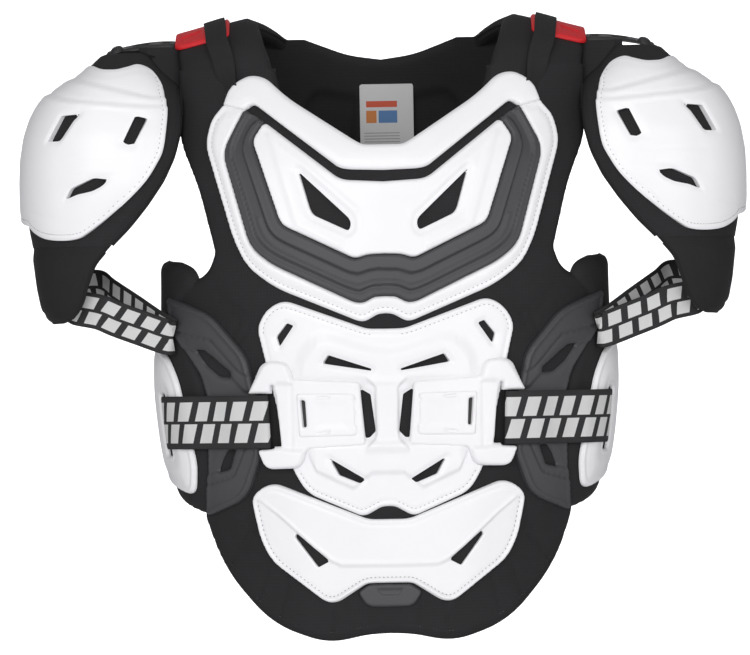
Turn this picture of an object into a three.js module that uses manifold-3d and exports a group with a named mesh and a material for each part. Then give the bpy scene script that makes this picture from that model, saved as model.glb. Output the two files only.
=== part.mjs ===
// Roost deflector: a padded vest of white shells over black foam, with shoulder cups and bicep pads.
// Millimetres. +X is the viewer's right, the chest faces -Y, +Z is up.
// The origin lies midway between the undersides of the two shoulder bridges.
import * as THREE from 'three';
import { mergeVertices } from 'three/addons/utils/BufferGeometryUtils.js';
import Module from 'manifold-3d';

const wasm = await Module();
wasm.setup();

// Clearances and walls
const GAP = 0.3;
const PAD_WALL = 12;
const PLATE_WALL = 3.5;
const RIM_WALL = 5;
const PANEL_WALL = 3;
const GUARD_WALL = 3.5;
const CUP_WALL = 3;
const CUP_PAD_WALL = 8;
const STRAP_WALL = 1.8;
const WEB_WALL = 1.5;
const COLLAR_WALL = 6;
const POCKET_DEPTH = 4.4;
const BRACKET_WALL = 3;
const LABEL_WALL = 0.6;

// Torso form
const TORSO_HALF_WIDTH = 196;
const FRONT_DEPTH = 125;
const BACK_DEPTH = 124;
const TORSO_ROUNDNESS = 2.4;

// Heights, from the origin down
const FRONT_SEAM = 20;
const BACK_SEAM = -8;
const CHEST_TOP = 27;
const CHEST_HEIGHT = 216.5;
const CHEST_HALF_WIDTH = 156;
const ABDOMEN_NEST = 19.5;
const ABDOMEN_HEIGHT = 190;
const ABDOMEN_HALF_WIDTH = 113;
const BELLY_NEST = 33;
const BELLY_HEIGHT = 109;
const BELLY_HALF_WIDTH = 120.5;
const HEM_BORDER = 32;
const PAD_HALF_WIDTH = 190;

// Shoulder bridges and what lies on them
const SHOULDER_RISE = 27;
const SHOULDER_CREST = 118;
const SHOULDER_FALL = 0.31;
const NECK_FALL = 0.45;
const YOKE_INNER = 98;
const YOKE_OUTER = 178;
const BRACKET_INNER = 133;
const BRACKET_OUTER = 183;
const WEB_WIDTH = 19;
const WEB_PLACE = 146;
const LINK_REACH = 60;
const LINK_DEPTH = 34;
const LINK_WALL = 3;
const LINK_SEAT = 3;
const LINK_RISE = 1;
const LINK_SWELL = 2.5;
const LINK_FALL = 5;
const LINK_TILT = 4;
const LINK_LAP = 3;
const BRACKET_TAPER = 5;

// Straps and fittings
const STRAP_WIDTH = 47;
const CLIP_WALL = 6;
const TONGUE_WALL = 4;
const TAB_WALL = 2;
const ARM_STRAP_WIDTH = 32;
const GUARD_HALF_LENGTH = 56;
const SIDE_PAD_RISE = 4;
const SLOT_ROOM = 2;
const SLOT_DROP = 5;

// Arms
const CUP_AXIS = 228;
const CUP_REACH = 87;
const CUP_DEPTH = 76;
const CUP_FORWARD = 8;
const CUP_DROP = 172;
const BICEP_DROP = 68;
const CUP_ROUNDNESS = 2.4;
const CUP_TOP = 3.5;

// Label and back plates
const LABEL_WIDTH = 48;
const LABEL_HEIGHT = 54.5;
const LABEL_TOP = 34.5;
const BACK_PLATE_HALF_WIDTH = 118;
const BACK_PLATE_TOP = 60;
const PLATE_SPACE = 12;
const KIDNEY_PLATE_HEIGHT = 130;
const KIDNEY_BORDER = 70;

// Levels that follow from the sizes above
const CHEST_BOTTOM = CHEST_TOP + CHEST_HEIGHT;
const ABDOMEN_TOP = CHEST_BOTTOM - ABDOMEN_NEST;
const ABDOMEN_BOTTOM = ABDOMEN_TOP + ABDOMEN_HEIGHT;
const BELLY_TOP = ABDOMEN_BOTTOM - BELLY_NEST;
const HEM = BELLY_TOP + BELLY_HEIGHT + HEM_BORDER;
const BACK_HEM = 0.905 * HEM;
const KIDNEY_TOP = BACK_HEM - KIDNEY_BORDER - KIDNEY_PLATE_HEIGHT;
const BACK_PLATE_HEIGHT = KIDNEY_TOP - PLATE_SPACE - BACK_PLATE_TOP;
const STRAP_LEVEL = ABDOMEN_TOP + 0.5535 * ABDOMEN_HEIGHT;
const CLIP_BASE = GAP + PLATE_WALL + GAP;
const BAR_WALL = 2;
const LOOP_ROOM = 0.7;
const BAR_BASE = CLIP_BASE + STRAP_WALL + LOOP_ROOM;
const PANEL_TOP = GAP + PANEL_WALL;

// Colours
const WHITE = { color: 0xf2f2f4, roughness: 0.38, metalness: 0 };
const BLACK = { color: 0x242326, roughness: 0.85, metalness: 0 };
const GREY = { color: 0x3c3b3e, roughness: 0.6, metalness: 0 };
const RED = { color: 0xc02a35, roughness: 0.4, metalness: 0 };
const SILVER = { color: 0xb9bbc0, roughness: 0.5, metalness: 0 };

// Turns rows of bare values into objects with the named columns.
function table(columns, rows) {
  const names = columns.split(' ');
  return rows.map((row) => Object.fromEntries(names.map((name, i) => [name, row[i]])));
}

// Reads a column of a table at a place between its rows.
function read(rows, key, at, column) {
  if (at <= rows[0][key]) return rows[0][column];
  for (let i = 1; i < rows.length; i += 1) {
    if (at <= rows[i][key]) {
      const t = (at - rows[i - 1][key]) / (rows[i][key] - rows[i - 1][key]);
      return THREE.MathUtils.lerp(rows[i - 1][column], rows[i][column], t);
    }
  }
  return rows[rows.length - 1][column];
}

// Torso sections: level in shares of the hem drop, the rest in shares of the torso's own sizes.
const TORSO = table('level width front back', [
  [-0.06, 0.97, 0.47, 0.70],
  [0.00, 0.98, 0.58, 0.80],
  [0.06, 0.985, 0.70, 0.88],
  [0.12, 0.99, 0.81, 0.94],
  [0.19, 1.00, 0.92, 0.99],
  [0.29, 0.995, 0.98, 1.00],
  [0.38, 0.99, 1.00, 1.00],
  [0.48, 0.995, 0.99, 0.98],
  [0.58, 1.00, 0.97, 0.945],
  [0.67, 0.975, 0.95, 0.92],
  [0.77, 0.92, 0.94, 0.91],
  [0.86, 0.86, 0.935, 0.90],
  [1.02, 0.79, 0.93, 0.88],
]);

// Superellipse share of a sine or cosine.
function bulge(value, roundness) {
  return Math.sign(value) * Math.abs(value) ** (2 / roundness);
}

// A point of the torso form at an angle from the chest's middle, pushed out by an offset.
function torsoPoint(angle, z, offset) {
  const level = -z / HEM;
  const width = TORSO_HALF_WIDTH * read(TORSO, 'level', level, 'width') + offset;
  const front = FRONT_DEPTH * read(TORSO, 'level', level, 'front') + offset;
  const back = BACK_DEPTH * read(TORSO, 'level', level, 'back') + offset;
  const depth = Math.cos(angle) > 0 ? front : back;
  const x = width * bulge(Math.sin(angle), TORSO_ROUNDNESS);
  return new THREE.Vector3(x, -depth * bulge(Math.cos(angle), TORSO_ROUNDNESS), z);
}

// The angle at which the torso form has a given distance from the middle plane.
function torsoAngle(x, z, offset) {
  const width = TORSO_HALF_WIDTH * read(TORSO, 'level', -z / HEM, 'width') + offset;
  const share = Math.min(0.999, Math.abs(x) / width);
  return Math.sign(x) * Math.asin(share ** (TORSO_ROUNDNESS / 2));
}

// The front (side -1) or back (side 1) of the torso form above a place x, z.
function torsoAt(x, z, offset, side = -1) {
  const angle = torsoAngle(x, z, offset);
  return torsoPoint(side < 0 ? angle : Math.PI - angle, z, offset);
}

// A closed slab between two surfaces, each a function of u and v from 0 to 1.
// Columns for which turned is true are split along the other diagonal.
function slab(outer, inner, uSteps, vSteps, turned = () => false) {
  const positions = [];
  const faces = [];
  const rows = uSteps + 1;
  for (const surface of [outer, inner]) {
    for (let j = 0; j <= vSteps; j += 1) {
      for (let i = 0; i <= uSteps; i += 1) {
        const point = surface(i / uSteps, j / vSteps);
        positions.push(point.x, point.y, point.z);
      }
    }
  }
  const layer = rows * (vSteps + 1);
  const quad = (a, b, c, d) => faces.push(a, b, c, a, c, d);
  for (let j = 0; j < vSteps; j += 1) {
    for (let i = 0; i < uSteps; i += 1) {
      const a = j * rows + i;
      const cell = [a, a + 1, a + rows + 1, a + rows];
      if (turned(i)) cell.push(cell.shift());
      quad(...cell);
      quad(layer + cell[0], layer + cell[3], layer + cell[2], layer + cell[1]);
    }
  }
  for (let i = 0; i < uSteps; i += 1) {
    const top = vSteps * rows + i;
    quad(i, layer + i, layer + i + 1, i + 1);
    quad(top, top + 1, layer + top + 1, layer + top);
  }
  for (let j = 0; j < vSteps; j += 1) {
    const low = j * rows;
    const high = low + uSteps;
    quad(low, low + rows, layer + low + rows, layer + low);
    quad(high, layer + high, layer + high + rows, high + rows);
  }
  const geometry = new THREE.BufferGeometry();
  geometry.setAttribute('position', new THREE.Float32BufferAttribute(positions, 3));
  geometry.setIndex(faces);
  return facingOut(geometry);
}

// Turns the faces round where they enclose a negative volume.
function facingOut(geometry) {
  const index = geometry.getIndex().array;
  const place = geometry.getAttribute('position');
  const corners = [new THREE.Vector3(), new THREE.Vector3(), new THREE.Vector3()];
  let volume = 0;
  for (let i = 0; i < index.length; i += 3) {
    corners.forEach((corner, k) => corner.fromBufferAttribute(place, index[i + k]));
    volume += corners[0].dot(corners[1].clone().cross(corners[2]));
  }
  if (volume < 0) {
    const turned = Array.from(index);
    for (let i = 0; i < turned.length; i += 3) {
      [turned[i + 1], turned[i + 2]] = [turned[i + 2], turned[i + 1]];
    }
    geometry.setIndex(turned);
  }
  return geometry;
}

// A closed geometry as a solid that can be joined and cut.
function toSolid(geometry) {
  const bare = geometry.clone();
  bare.deleteAttribute('normal');
  bare.deleteAttribute('uv');
  const merged = mergeVertices(bare, 1e-4);
  return new wasm.Manifold(new wasm.Mesh({
    numProp: 3,
    vertProperties: new Float32Array(merged.getAttribute('position').array),
    triVerts: new Uint32Array(merged.getIndex().array),
  }));
}

function toGeometry(solid) {
  const mesh = solid.getMesh();
  const geometry = new THREE.BufferGeometry();
  geometry.setAttribute('position', new THREE.Float32BufferAttribute(mesh.vertProperties, 3));
  geometry.setIndex(Array.from(mesh.triVerts));
  return geometry;
}

// The same geometry on the other side of the middle plane.
function mirrored(geometry) {
  const copy = geometry.clone();
  copy.scale(-1, 1, 1);
  const turned = Array.from(copy.getIndex().array);
  for (let i = 0; i < turned.length; i += 3) {
    [turned[i + 1], turned[i + 2]] = [turned[i + 2], turned[i + 1]];
  }
  copy.setIndex(turned);
  return copy;
}

// Corner rows (across, down, round) set in a frame of half width, top level and height.
function corners(rows, halfWidth, top, height) {
  return rows.map((row) => ({
    x: row.across * halfWidth,
    z: -top - row.down * height,
    round: (row.round || 0) * halfWidth,
  }));
}

// An outline through corners, each corner rounded by a short curve.
function rounded(points, open) {
  const path = [];
  points.forEach((corner, i) => {
    const before = points[(i + points.length - 1) % points.length];
    const after = points[(i + 1) % points.length];
    const atEnd = open && (i === 0 || i === points.length - 1);
    if (corner.round === 0 || atEnd) {
      path.push(new THREE.Vector2(corner.x, corner.z));
      return;
    }
    const here = new THREE.Vector2(corner.x, corner.z);
    const start = new THREE.Vector2(before.x, before.z).sub(here);
    const end = new THREE.Vector2(after.x, after.z).sub(here);
    const reach = Math.min(corner.round, 0.48 * start.length(), 0.48 * end.length());
    const curve = new THREE.QuadraticBezierCurve(
      start.setLength(reach).add(here),
      here,
      end.setLength(reach).add(here),
    );
    path.push(...curve.getPoints(reach > PAD_WALL ? 3 : Math.ceil(reach / PAD_WALL + 0.5)));
  });
  return path;
}

// A half outline, from the middle line round to the middle line, completed on the other side.
function bothSides(half) {
  const other = half
    .filter((point) => Math.abs(point.x) > 1e-6)
    .map((point) => new THREE.Vector2(-point.x, point.y))
    .reverse();
  return [...half, ...other];
}

// An outline grown by a small distance along its own normals.
function grown(points, distance) {
  const area = THREE.ShapeUtils.area(points);
  const turn = area > 0 ? 1 : -1;
  return points.map((point, i) => {
    const before = points[(i + points.length - 1) % points.length];
    const after = points[(i + 1) % points.length];
    const along = after.clone().sub(before).normalize();
    return new THREE.Vector2(point.x + turn * along.y * distance, point.y - turn * along.x * distance);
  });
}

const FAR = 1.4 * CUP_AXIS;

// A prism of an outline in x and z, run out to the front (side -1) or the back (side 1).
function prism(points, side = -1, from = 0) {
  const geometry = new THREE.ExtrudeGeometry(new THREE.Shape(points), { depth: FAR, bevelEnabled: false });
  geometry.rotateX(Math.PI / 2);
  geometry.translate(0, side < 0 ? -from : FAR + from, 0);
  return toSolid(geometry);
}

// A prism of an outline in y and z, run out to the viewer's right.
function sidePrism(points) {
  const geometry = new THREE.ExtrudeGeometry(new THREE.Shape(points), { depth: FAR, bevelEnabled: false });
  const axes = [new THREE.Vector3(0, 1, 0), new THREE.Vector3(0, 0, 1), new THREE.Vector3(1, 0, 0)];
  geometry.applyMatrix4(new THREE.Matrix4().makeBasis(...axes));
  return toSolid(geometry);
}

// A piece of the torso's skin between two offsets. All pieces share one grid of angles and levels,
// so that the facets of one layer lie parallel to those of the next.
const ANGLE_STEP = Math.PI / 18;
const LEVEL_STEP = HEM / 9;
function skin(inner, outer, start, end, top, bottom) {
  const first = Math.floor(start / ANGLE_STEP);
  const last = Math.ceil(end / ANGLE_STEP);
  const high = Math.ceil(top / LEVEL_STEP);
  const low = Math.floor(bottom / LEVEL_STEP);
  const at = (offset) => (u, v) => torsoPoint(
    THREE.MathUtils.lerp(first, last, u) * ANGLE_STEP,
    THREE.MathUtils.lerp(high, low, v) * LEVEL_STEP,
    offset,
  );
  const leftHalf = (column) => Math.sin((first + column + 0.5) * ANGLE_STEP) < 0;
  return toSolid(slab(at(outer), at(inner), last - first, high - low, leftHalf));
}

// Skin wide enough for an outline, with a margin round it.
function skinFor(points, inner, outer, side = -1) {
  const xs = points.map((point) => point.x);
  const zs = points.map((point) => point.y);
  const top = Math.max(...zs);
  const bottom = Math.min(...zs);
  const reach = (x) => {
    const angles = [0, 0.5, 1].map((t) => torsoAngle(x, THREE.MathUtils.lerp(top, bottom, t), 0));
    return x > 0 ? Math.max(...angles) + 0.04 : Math.min(...angles) - 0.04;
  };
  const start = reach(Math.min(...xs));
  const end = reach(Math.max(...xs));
  return side < 0
    ? skin(inner, outer, start, end, top, bottom)
    : skin(inner, outer, Math.PI - end, Math.PI - start, top, bottom);
}

// A plate on the torso's skin: an outline, cut by its holes.
function plate(points, holes, inner, outer, side = -1) {
  let solid = skinFor(points, inner, outer, side).intersect(prism(points, side));
  for (const hole of holes) solid = solid.subtract(prism(hole, side));
  return solid;
}

const flip = (points) => points.map((point) => new THREE.Vector2(-point.x, point.y));
const onBothSides = (holes) => [...holes, ...holes.map(flip)];

// Chest outlines, in shares of the chest's half width and height
const chest = (rows, open = true) => rounded(
  corners(table('across down round', rows), CHEST_HALF_WIDTH, CHEST_TOP, CHEST_HEIGHT),
  open,
);
const RIM_OUTSIDE = [
  [0.899, 0.112, 0], [1.028, 0.272, 0.14], [0.815, 0.755, 0.12], [0.610, 0.865, 0.22],
  [0.141, 1.000, 0.03], [0.080, 0.989, 0.02], [0.040, 0.970, 0.02], [0.000, 0.969, 0],
];
const RIM_INSIDE = [
  [0.000, 0.899, 0], [0.058, 0.900, 0.02], [0.130, 0.922, 0.03], [0.165, 0.927, 0.03],
  [0.622, 0.779, 0.20], [0.740, 0.718, 0.08], [0.919, 0.304, 0.09], [0.787, 0.139, 0],
];
const CHANNEL_INSIDE = [
  [0.000, 0.729, 0], [0.098, 0.731, 0.02], [0.168, 0.748, 0.03], [0.580, 0.600, 0.04],
  [0.737, 0.262, 0.03], [0.668, 0.190, 0],
];
const INSERT_OUTSIDE = [
  [0.000, 0.436, 0], [0.263, 0.425, 0.04], [0.668, 0.191, 0.02], [0.735, 0.261, 0.03],
  [0.578, 0.600, 0.04], [0.167, 0.747, 0.03], [0.098, 0.730, 0.02], [0.000, 0.728, 0],
];
const INSERT_VENT = [
  [0.478, 0.389, 0], [0.194, 0.583, 0.01], [0.196, 0.633, 0.01], [0.397, 0.567, 0], [0.416, 0.540, 0],
];
const COLLAR_OUTSIDE = [
  [0.000, 0.286, 0], [0.150, 0.285, 0.06], [0.538, 0.090, 0.08], [0.705, -0.012, 0.09],
  [0.840, 0.006, 0.10], [0.895, 0.109, 0],
];
const COLLAR_INSIDE = [
  [0.783, 0.134, 0], [0.745, 0.103, 0.02], [0.228, 0.390, 0.05], [0.000, 0.390, 0],
];

const collarShape = () => bothSides(chest([...COLLAR_OUTSIDE, ...COLLAR_INSIDE]));
const insertShape = () => bothSides(chest(INSERT_OUTSIDE));

// The white U: down the outside, back along the inside.
function rimShape() {
  const right = chest(RIM_OUTSIDE);
  const inner = chest(RIM_INSIDE);
  const left = flip(right).reverse().slice(1);
  const innerLeft = flip(inner).reverse();
  return [...right, ...left, ...innerLeft, ...inner.slice(1)];
}

// The grey moulded U inside it.
function channelShape() {
  const outer = chest(RIM_INSIDE).slice().reverse();
  const inner = chest(CHANNEL_INSIDE);
  const left = flip(outer).reverse().slice(1);
  const innerLeft = flip(inner).reverse();
  return grown([...outer, ...left, ...innerLeft, ...inner.slice(1)], -GAP);
}

// Abdomen outlines, in shares of the abdomen's half width and height
const abdomen = (rows, open = true) => rounded(
  corners(table('across down round', rows), ABDOMEN_HALF_WIDTH, ABDOMEN_TOP, ABDOMEN_HEIGHT),
  open,
);
const ABDOMEN_OUTSIDE = [
  [0.000, 0.138, 0], [0.160, 0.136, 0.04], [0.845, 0.000, 0.08], [1.010, 0.122, 0.07],
  [0.745, 0.785, 0.08], [0.665, 0.875, 0.07], [0.190, 1.000, 0.05], [0.100, 0.982, 0.03],
  [0.045, 0.952, 0.02], [0.000, 0.951, 0],
];
const ABDOMEN_HOLES = [
  [[0.717, 0.115, 0], [0.770, 0.105, 0], [0.850, 0.168, 0], [0.830, 0.212, 0]],
  [[0.124, 0.327, 0], [0.447, 0.258, 0], [0.487, 0.291, 0]],
  [[0.127, 0.438, 0], [0.204, 0.412, 0], [0.173, 0.636, 0], [0.142, 0.634, 0], [0.093, 0.607, 0]],
  [[0.447, 0.730, 0], [0.376, 0.804, 0], [0.217, 0.843, 0], [0.181, 0.827, 0]],
];
const CLIP_OUTSIDE = [
  [0.735, 0.363, 0.02], [0.775, 0.282, 0.07], [0.960, 0.275, 0.10], [1.075, 0.425, 0], [0.903, 0.425, 0],
  [0.903, 0.392, 0], [0.860, 0.392, 0], [0.822, 0.670, 0], [0.885, 0.670, 0], [0.885, 0.682, 0],
  [1.000, 0.682, 0], [0.945, 0.775, 0.08], [0.680, 0.770, 0.06], [0.630, 0.682, 0.03],
  [0.180, 0.668, 0.02], [0.225, 0.397, 0.02],
];
const CLIP_SLIT = [[0.664, 0.461, 0], [0.622, 0.466, 0], [0.618, 0.583, 0], [0.650, 0.584, 0]];
const BAR_EDGE = [[0.950, 0.40, 0], [1.030, 0.40, 0], [0.995, 0.70, 0], [0.945, 0.70, 0]];
const LIP_EDGES = [
  [[0.780, 0.300, 0.04], [0.950, 0.295, 0.06], [1.040, 0.418, 0], [0.910, 0.418, 0], [0.910, 0.380, 0],
    [0.780, 0.380, 0]],
  [[0.890, 0.690, 0], [0.985, 0.690, 0], [0.935, 0.760, 0.04], [0.720, 0.755, 0.04], [0.720, 0.700, 0]],
];
const TAB_OUTSIDE = [
  [0.250, 0.445, 0.04], [0.600, 0.428, 0.03], [0.585, 0.622, 0.03], [0.235, 0.612, 0.04],
];

// Belly outlines, in shares of the belly's half width and height
const belly = (rows, open = true) => rounded(
  corners(table('across down round', rows), BELLY_HALF_WIDTH, BELLY_TOP, BELLY_HEIGHT),
  open,
);
const BELLY_OUTSIDE = [
  [0.000, 0.321, 0], [0.160, 0.326, 0.06], [0.855, 0.000, 0.09], [1.017, 0.092, 0.08],
  [0.871, 0.633, 0.10], [0.432, 1.013, 0.08], [0.166, 0.832, 0.03], [0.000, 0.832, 0],
];
const BELLY_VENT = [[0.682, 0.422, 0.01], [0.515, 0.702, 0.01], [0.436, 0.651, 0.01]];
const TAB_EDGE = [
  [0.000, 0.840, 0], [0.149, 0.840, 0.01], [0.232, 0.912, 0.01], [0.170, 1.020, 0.04], [0.000, 1.022, 0],
];

// Black foam outlines, in shares of the pad's half width and the hem's drop
const pad = (rows) => rounded(
  corners(table('across down round', rows), PAD_HALF_WIDTH, 0, HEM),
  true,
);
const seam = FRONT_SEAM / HEM;
const FRONT_EDGE = [
  [0.000, 0.181, 0], [0.130, 0.180, 0.03], [0.480, 0.090, 0.03], [0.516, seam, 0], [0.945, seam, 0],
  [0.945, 0.110, 0.20], [0.865, 0.235, 0.10], [0.790, 0.345, 0.02], [0.815, 0.405, 0.08],
  [0.905, 0.415, 0.06], [0.985, 0.385, 0.03], [1.000, 0.480, 0.06], [0.860, 0.570, 0.08],
  [0.845, 0.760, 0.03], [0.875, 0.782, 0.02], [0.775, 0.880, 0.20], [0.560, 0.972, 0.20],
  [0.340, 1.003, 0.15], [0.000, 0.986, 0],
];
const backSeam = BACK_SEAM / HEM;
const BACK_EDGE = [
  [0.000, 0.024, 0], [0.160, 0.018, 0.06], [0.400, -0.006, 0.06], [0.440, backSeam, 0], [0.925, backSeam, 0],
  [0.955, 0.100, 0.20], [0.840, 0.230, 0.10], [0.760, 0.345, 0.05], [0.740, 0.480, 0.05],
  [0.730, 0.760, 0.05], [0.640, 0.860, 0.15], [0.380, 0.905, 0.15], [0.000, 0.905, 0],
];

function frontPad() {
  const shape = bothSides(pad(FRONT_EDGE));
  return skin(-PAD_WALL, 0, -1.45, 1.45, 0, -HEM).intersect(prism(shape));
}

function backPad() {
  const shape = bothSides(pad(BACK_EDGE));
  const sheet = skin(-PAD_WALL, 0, Math.PI - 1.45, Math.PI + 1.45, -BACK_SEAM, -0.9 * HEM);
  return sheet.intersect(prism(shape, 1));
}

// Side outlines, in shares of the guard's half length (back and forth) and the hem's drop
const side = (rows) => rounded(
  table('forward down round', rows).map((row) => ({
    x: -row.forward * GUARD_HALF_LENGTH,
    z: -row.down * HEM,
    round: (row.round || 0) * GUARD_HALF_LENGTH,
  })),
  false,
);
const SIDE_PAD_EDGE = [
  [0.75, 0.375, 0.25], [1.55, 0.400, 0.20], [1.55, 0.765, 0.20], [1.10, 0.780, 0.20], [-0.60, 0.740, 0.35],
  [-1.95, 0.700, 0.10], [-1.95, 0.470, 0.10], [-0.80, 0.395, 0.30], [0.00, 0.360, 0.40],
];
const GUARD_EDGE = [
  [0.45, 0.500, 0.15], [1.25, 0.548, 0.12], [1.30, 0.700, 0.15], [1.15, 0.752, 0.20], [0.20, 0.722, 0.25],
  [-0.70, 0.700, 0.30], [-0.75, 0.500, 0.30],
];

function sidePad() {
  const shell = skin(SIDE_PAD_RISE - PAD_WALL, SIDE_PAD_RISE, 0.45, 2.6, -0.33 * HEM, -0.8 * HEM);
  const front = prism(grown(bothSides(pad(FRONT_EDGE)), 3 * GAP));
  const back = prism(grown(bothSides(pad(BACK_EDGE)), 3 * GAP), 1);
  return shell.intersect(sidePrism(side(SIDE_PAD_EDGE))).subtract(front).subtract(back);
}

// The strap's slot in the side guard, in the guard's own frame
function guardSlot() {
  const near = -0.82 * GUARD_HALF_LENGTH;
  const far = -0.55 * GUARD_HALF_LENGTH;
  const high = -STRAP_LEVEL + STRAP_WIDTH / 2 + SLOT_ROOM;
  const low = -STRAP_LEVEL - STRAP_WIDTH / 2 - SLOT_DROP;
  return [[near, high], [far, high], [far, low], [near, low]].map(([y, z]) => new THREE.Vector2(y, z));
}

const GUARD_BASE = SIDE_PAD_RISE + GAP;
function sideGuard() {
  const shell = skin(GUARD_BASE, GUARD_BASE + GUARD_WALL, 0.6, 2.3, -0.47 * HEM, -0.77 * HEM);
  return shell.intersect(sidePrism(side(GUARD_EDGE))).subtract(sidePrism(guardSlot()));
}

// Grey flank panel with its long vents
const PANEL_EDGE = [
  [0.990, 0.428, 0.01], [0.800, 0.452, 0.05], [0.645, 0.521, 0.05], [0.603, 0.590, 0.02],
  [0.585, 0.690, 0.02], [0.655, 0.760, 0.07], [0.828, 0.782, 0.02], [0.826, 0.590, 0.03],
  [0.860, 0.552, 0.03], [0.980, 0.480, 0.03],
];
const PANEL_VENTS = [
  [[0.880, 0.508, 0], [0.845, 0.509, 0], [0.705, 0.548, 0], [0.735, 0.549, 0]],
  [[0.735, 0.690, 0], [0.770, 0.690, 0], [0.740, 0.714, 0], [0.705, 0.712, 0]],
];
function flankPanel() {
  const points = closedPad(PANEL_EDGE);
  return plate(points, PANEL_VENTS.map(closedPad), GAP, PANEL_TOP);
}
function closedPad(rows) {
  return rounded(corners(table('across down round', rows), PAD_HALF_WIDTH, 0, HEM), false);
}

// The clip: two jaws, a tongue over the abdomen plate and the bar that the strap is sewn round
function strapClip() {
  const jaws = plate(
    abdomen(CLIP_OUTSIDE, false),
    [abdomen(CLIP_SLIT, false)],
    CLIP_BASE,
    CLIP_BASE + TONGUE_WALL,
  );
  const bar = plate(abdomen(BAR_EDGE, false), [], BAR_BASE, BAR_BASE + BAR_WALL);
  const lips = LIP_EDGES.map((rows) => plate(
    abdomen(rows, false),
    [],
    CLIP_BASE + TONGUE_WALL / 2,
    CLIP_BASE + CLIP_WALL,
  ));
  return jaws.add(bar).add(lips[0]).add(lips[1]);
}

// A band between two edge routes, each a list of stations with a place and an outward normal.
function bandBetween(first, second, wall) {
  const last = first.length - 1;
  const at = (lift) => (u, v) => {
    const station = (v < 0.5 ? first : second)[Math.round(u * last)];
    return station.place.clone().addScaledVector(station.normal, lift);
  };
  return slab(at(wall / 2), at(-wall / 2), last, 1);
}

// A band of one width along a route of stations.
function band(stations, width, wall) {
  const edge = (shift) => stations.map(({ place, normal }, i) => {
    const before = stations[Math.max(0, i - 1)].place;
    const after = stations[Math.min(stations.length - 1, i + 1)].place;
    const across = after.clone().sub(before).cross(normal).normalize();
    return { place: place.clone().addScaledVector(across, shift), normal };
  });
  return bandBetween(edge(-width / 2), edge(width / 2), wall);
}

// The waist strap's route: sewn round the bar, over the flank, then down into the guard's slot.
// angle is in degrees from the chest's middle, lift runs from 0 on the clip's base to 1 over the bar.
const STRAP_ROUTE = table('angle lift', [
  [38.0, 0.00], [33.0, 0.00], [28.4, 0.02], [27.2, 0.25], [26.9, 0.50], [27.2, 0.78], [28.4, 1.00],
  [33.0, 1.00], [37.5, 0.98], [40.5, 0.65], [43.5, 0.34], [47.5, 0.30], [51.5, 0.38], [54.5, 0.75],
  [57.0, 1.12], [60.0, 1.22], [63.0, 1.24], [66.0, 1.24], [69.0, 1.20], [72.0, 1.10], [74.3, 0.78],
  [76.3, 0.40],
]);
function waistStrap() {
  const base = CLIP_BASE + STRAP_WALL / 2;
  const rise = 2 * LOOP_ROOM + BAR_WALL + STRAP_WALL;
  const edge = (z) => levelNormals(STRAP_ROUTE.map((row) => ({
    place: torsoPoint(THREE.MathUtils.degToRad(row.angle), z, base + row.lift * rise),
  })));
  return bandBetween(
    edge(-STRAP_LEVEL - STRAP_WIDTH / 2),
    edge(-STRAP_LEVEL + STRAP_WIDTH / 2),
    STRAP_WALL,
  );
}

// Gives each station of a route the level normal on the route's outer side.
function levelNormals(stations) {
  return stations.map((station, i) => {
    const before = stations[Math.max(0, i - 1)].place;
    const after = stations[Math.min(stations.length - 1, i + 1)].place;
    const along = after.clone().sub(before);
    return { place: station.place, normal: new THREE.Vector3(along.y, -along.x, 0).normalize() };
  });
}

// Shoulder bridge: an arch from the front seam over the crest to the back seam.
const YOKE_EDGES = table('along inner outer', [
  [-0.1, 1.00, 1.00], [0.0, 1.00, 1.00], [0.25, 1.08, 1.01], [0.5, 1.12, 1.00], [0.75, 1.00, 0.99],
  [1.0, 0.86, 0.98], [1.1, 0.86, 0.98],
]);
function yokePoint(x, along) {
  const front = torsoAt(x, -FRONT_SEAM, 0, -1);
  const back = torsoAt(x, -BACK_SEAM, 0, 1);
  const turn = Math.PI * along;
  const beyond = x - SHOULDER_CREST;
  const crest = SHOULDER_RISE - (beyond > 0 ? SHOULDER_FALL * beyond : -NECK_FALL * beyond);
  const y = (front.y + back.y) / 2 - ((back.y - front.y) / 2) * Math.cos(turn);
  const chord = THREE.MathUtils.lerp(front.z, back.z, along);
  const middle = (front.z + back.z) / 2;
  return new THREE.Vector3(x, y, chord + (crest - middle) * Math.sin(turn));
}
function yokeNormal(x, along) {
  const step = 0.01;
  const down = yokePoint(x, along + step).sub(yokePoint(x, along - step));
  const over = yokePoint(x + 1, along).sub(yokePoint(x - 1, along));
  return over.cross(down).normalize();
}
function yokeAt(x, along, offset) {
  return yokePoint(x, along).addScaledVector(yokeNormal(x, along), offset);
}
function yoke() {
  const at = (offset) => (u, v) => {
    const along = THREE.MathUtils.lerp(-0.05, 1.05, v);
    const inner = YOKE_INNER * read(YOKE_EDGES, 'along', along, 'inner');
    const outer = YOKE_OUTER * read(YOKE_EDGES, 'along', along, 'outer');
    return yokeAt(THREE.MathUtils.lerp(inner, outer, u), along, offset);
  };
  const arch = toSolid(slab(at(0), at(-PAD_WALL), 4, 11));
  const under = new THREE.BoxGeometry(FAR, FAR, FAR);
  under.translate(CUP_AXIS, -FAR / 2, -FAR / 2 - FRONT_SEAM + GAP);
  const behind = new THREE.BoxGeometry(FAR, FAR, FAR);
  behind.translate(CUP_AXIS, FAR / 2, -FAR / 2 - BACK_SEAM + GAP);
  return arch.subtract(toSolid(under)).subtract(toSolid(behind));
}

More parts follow.
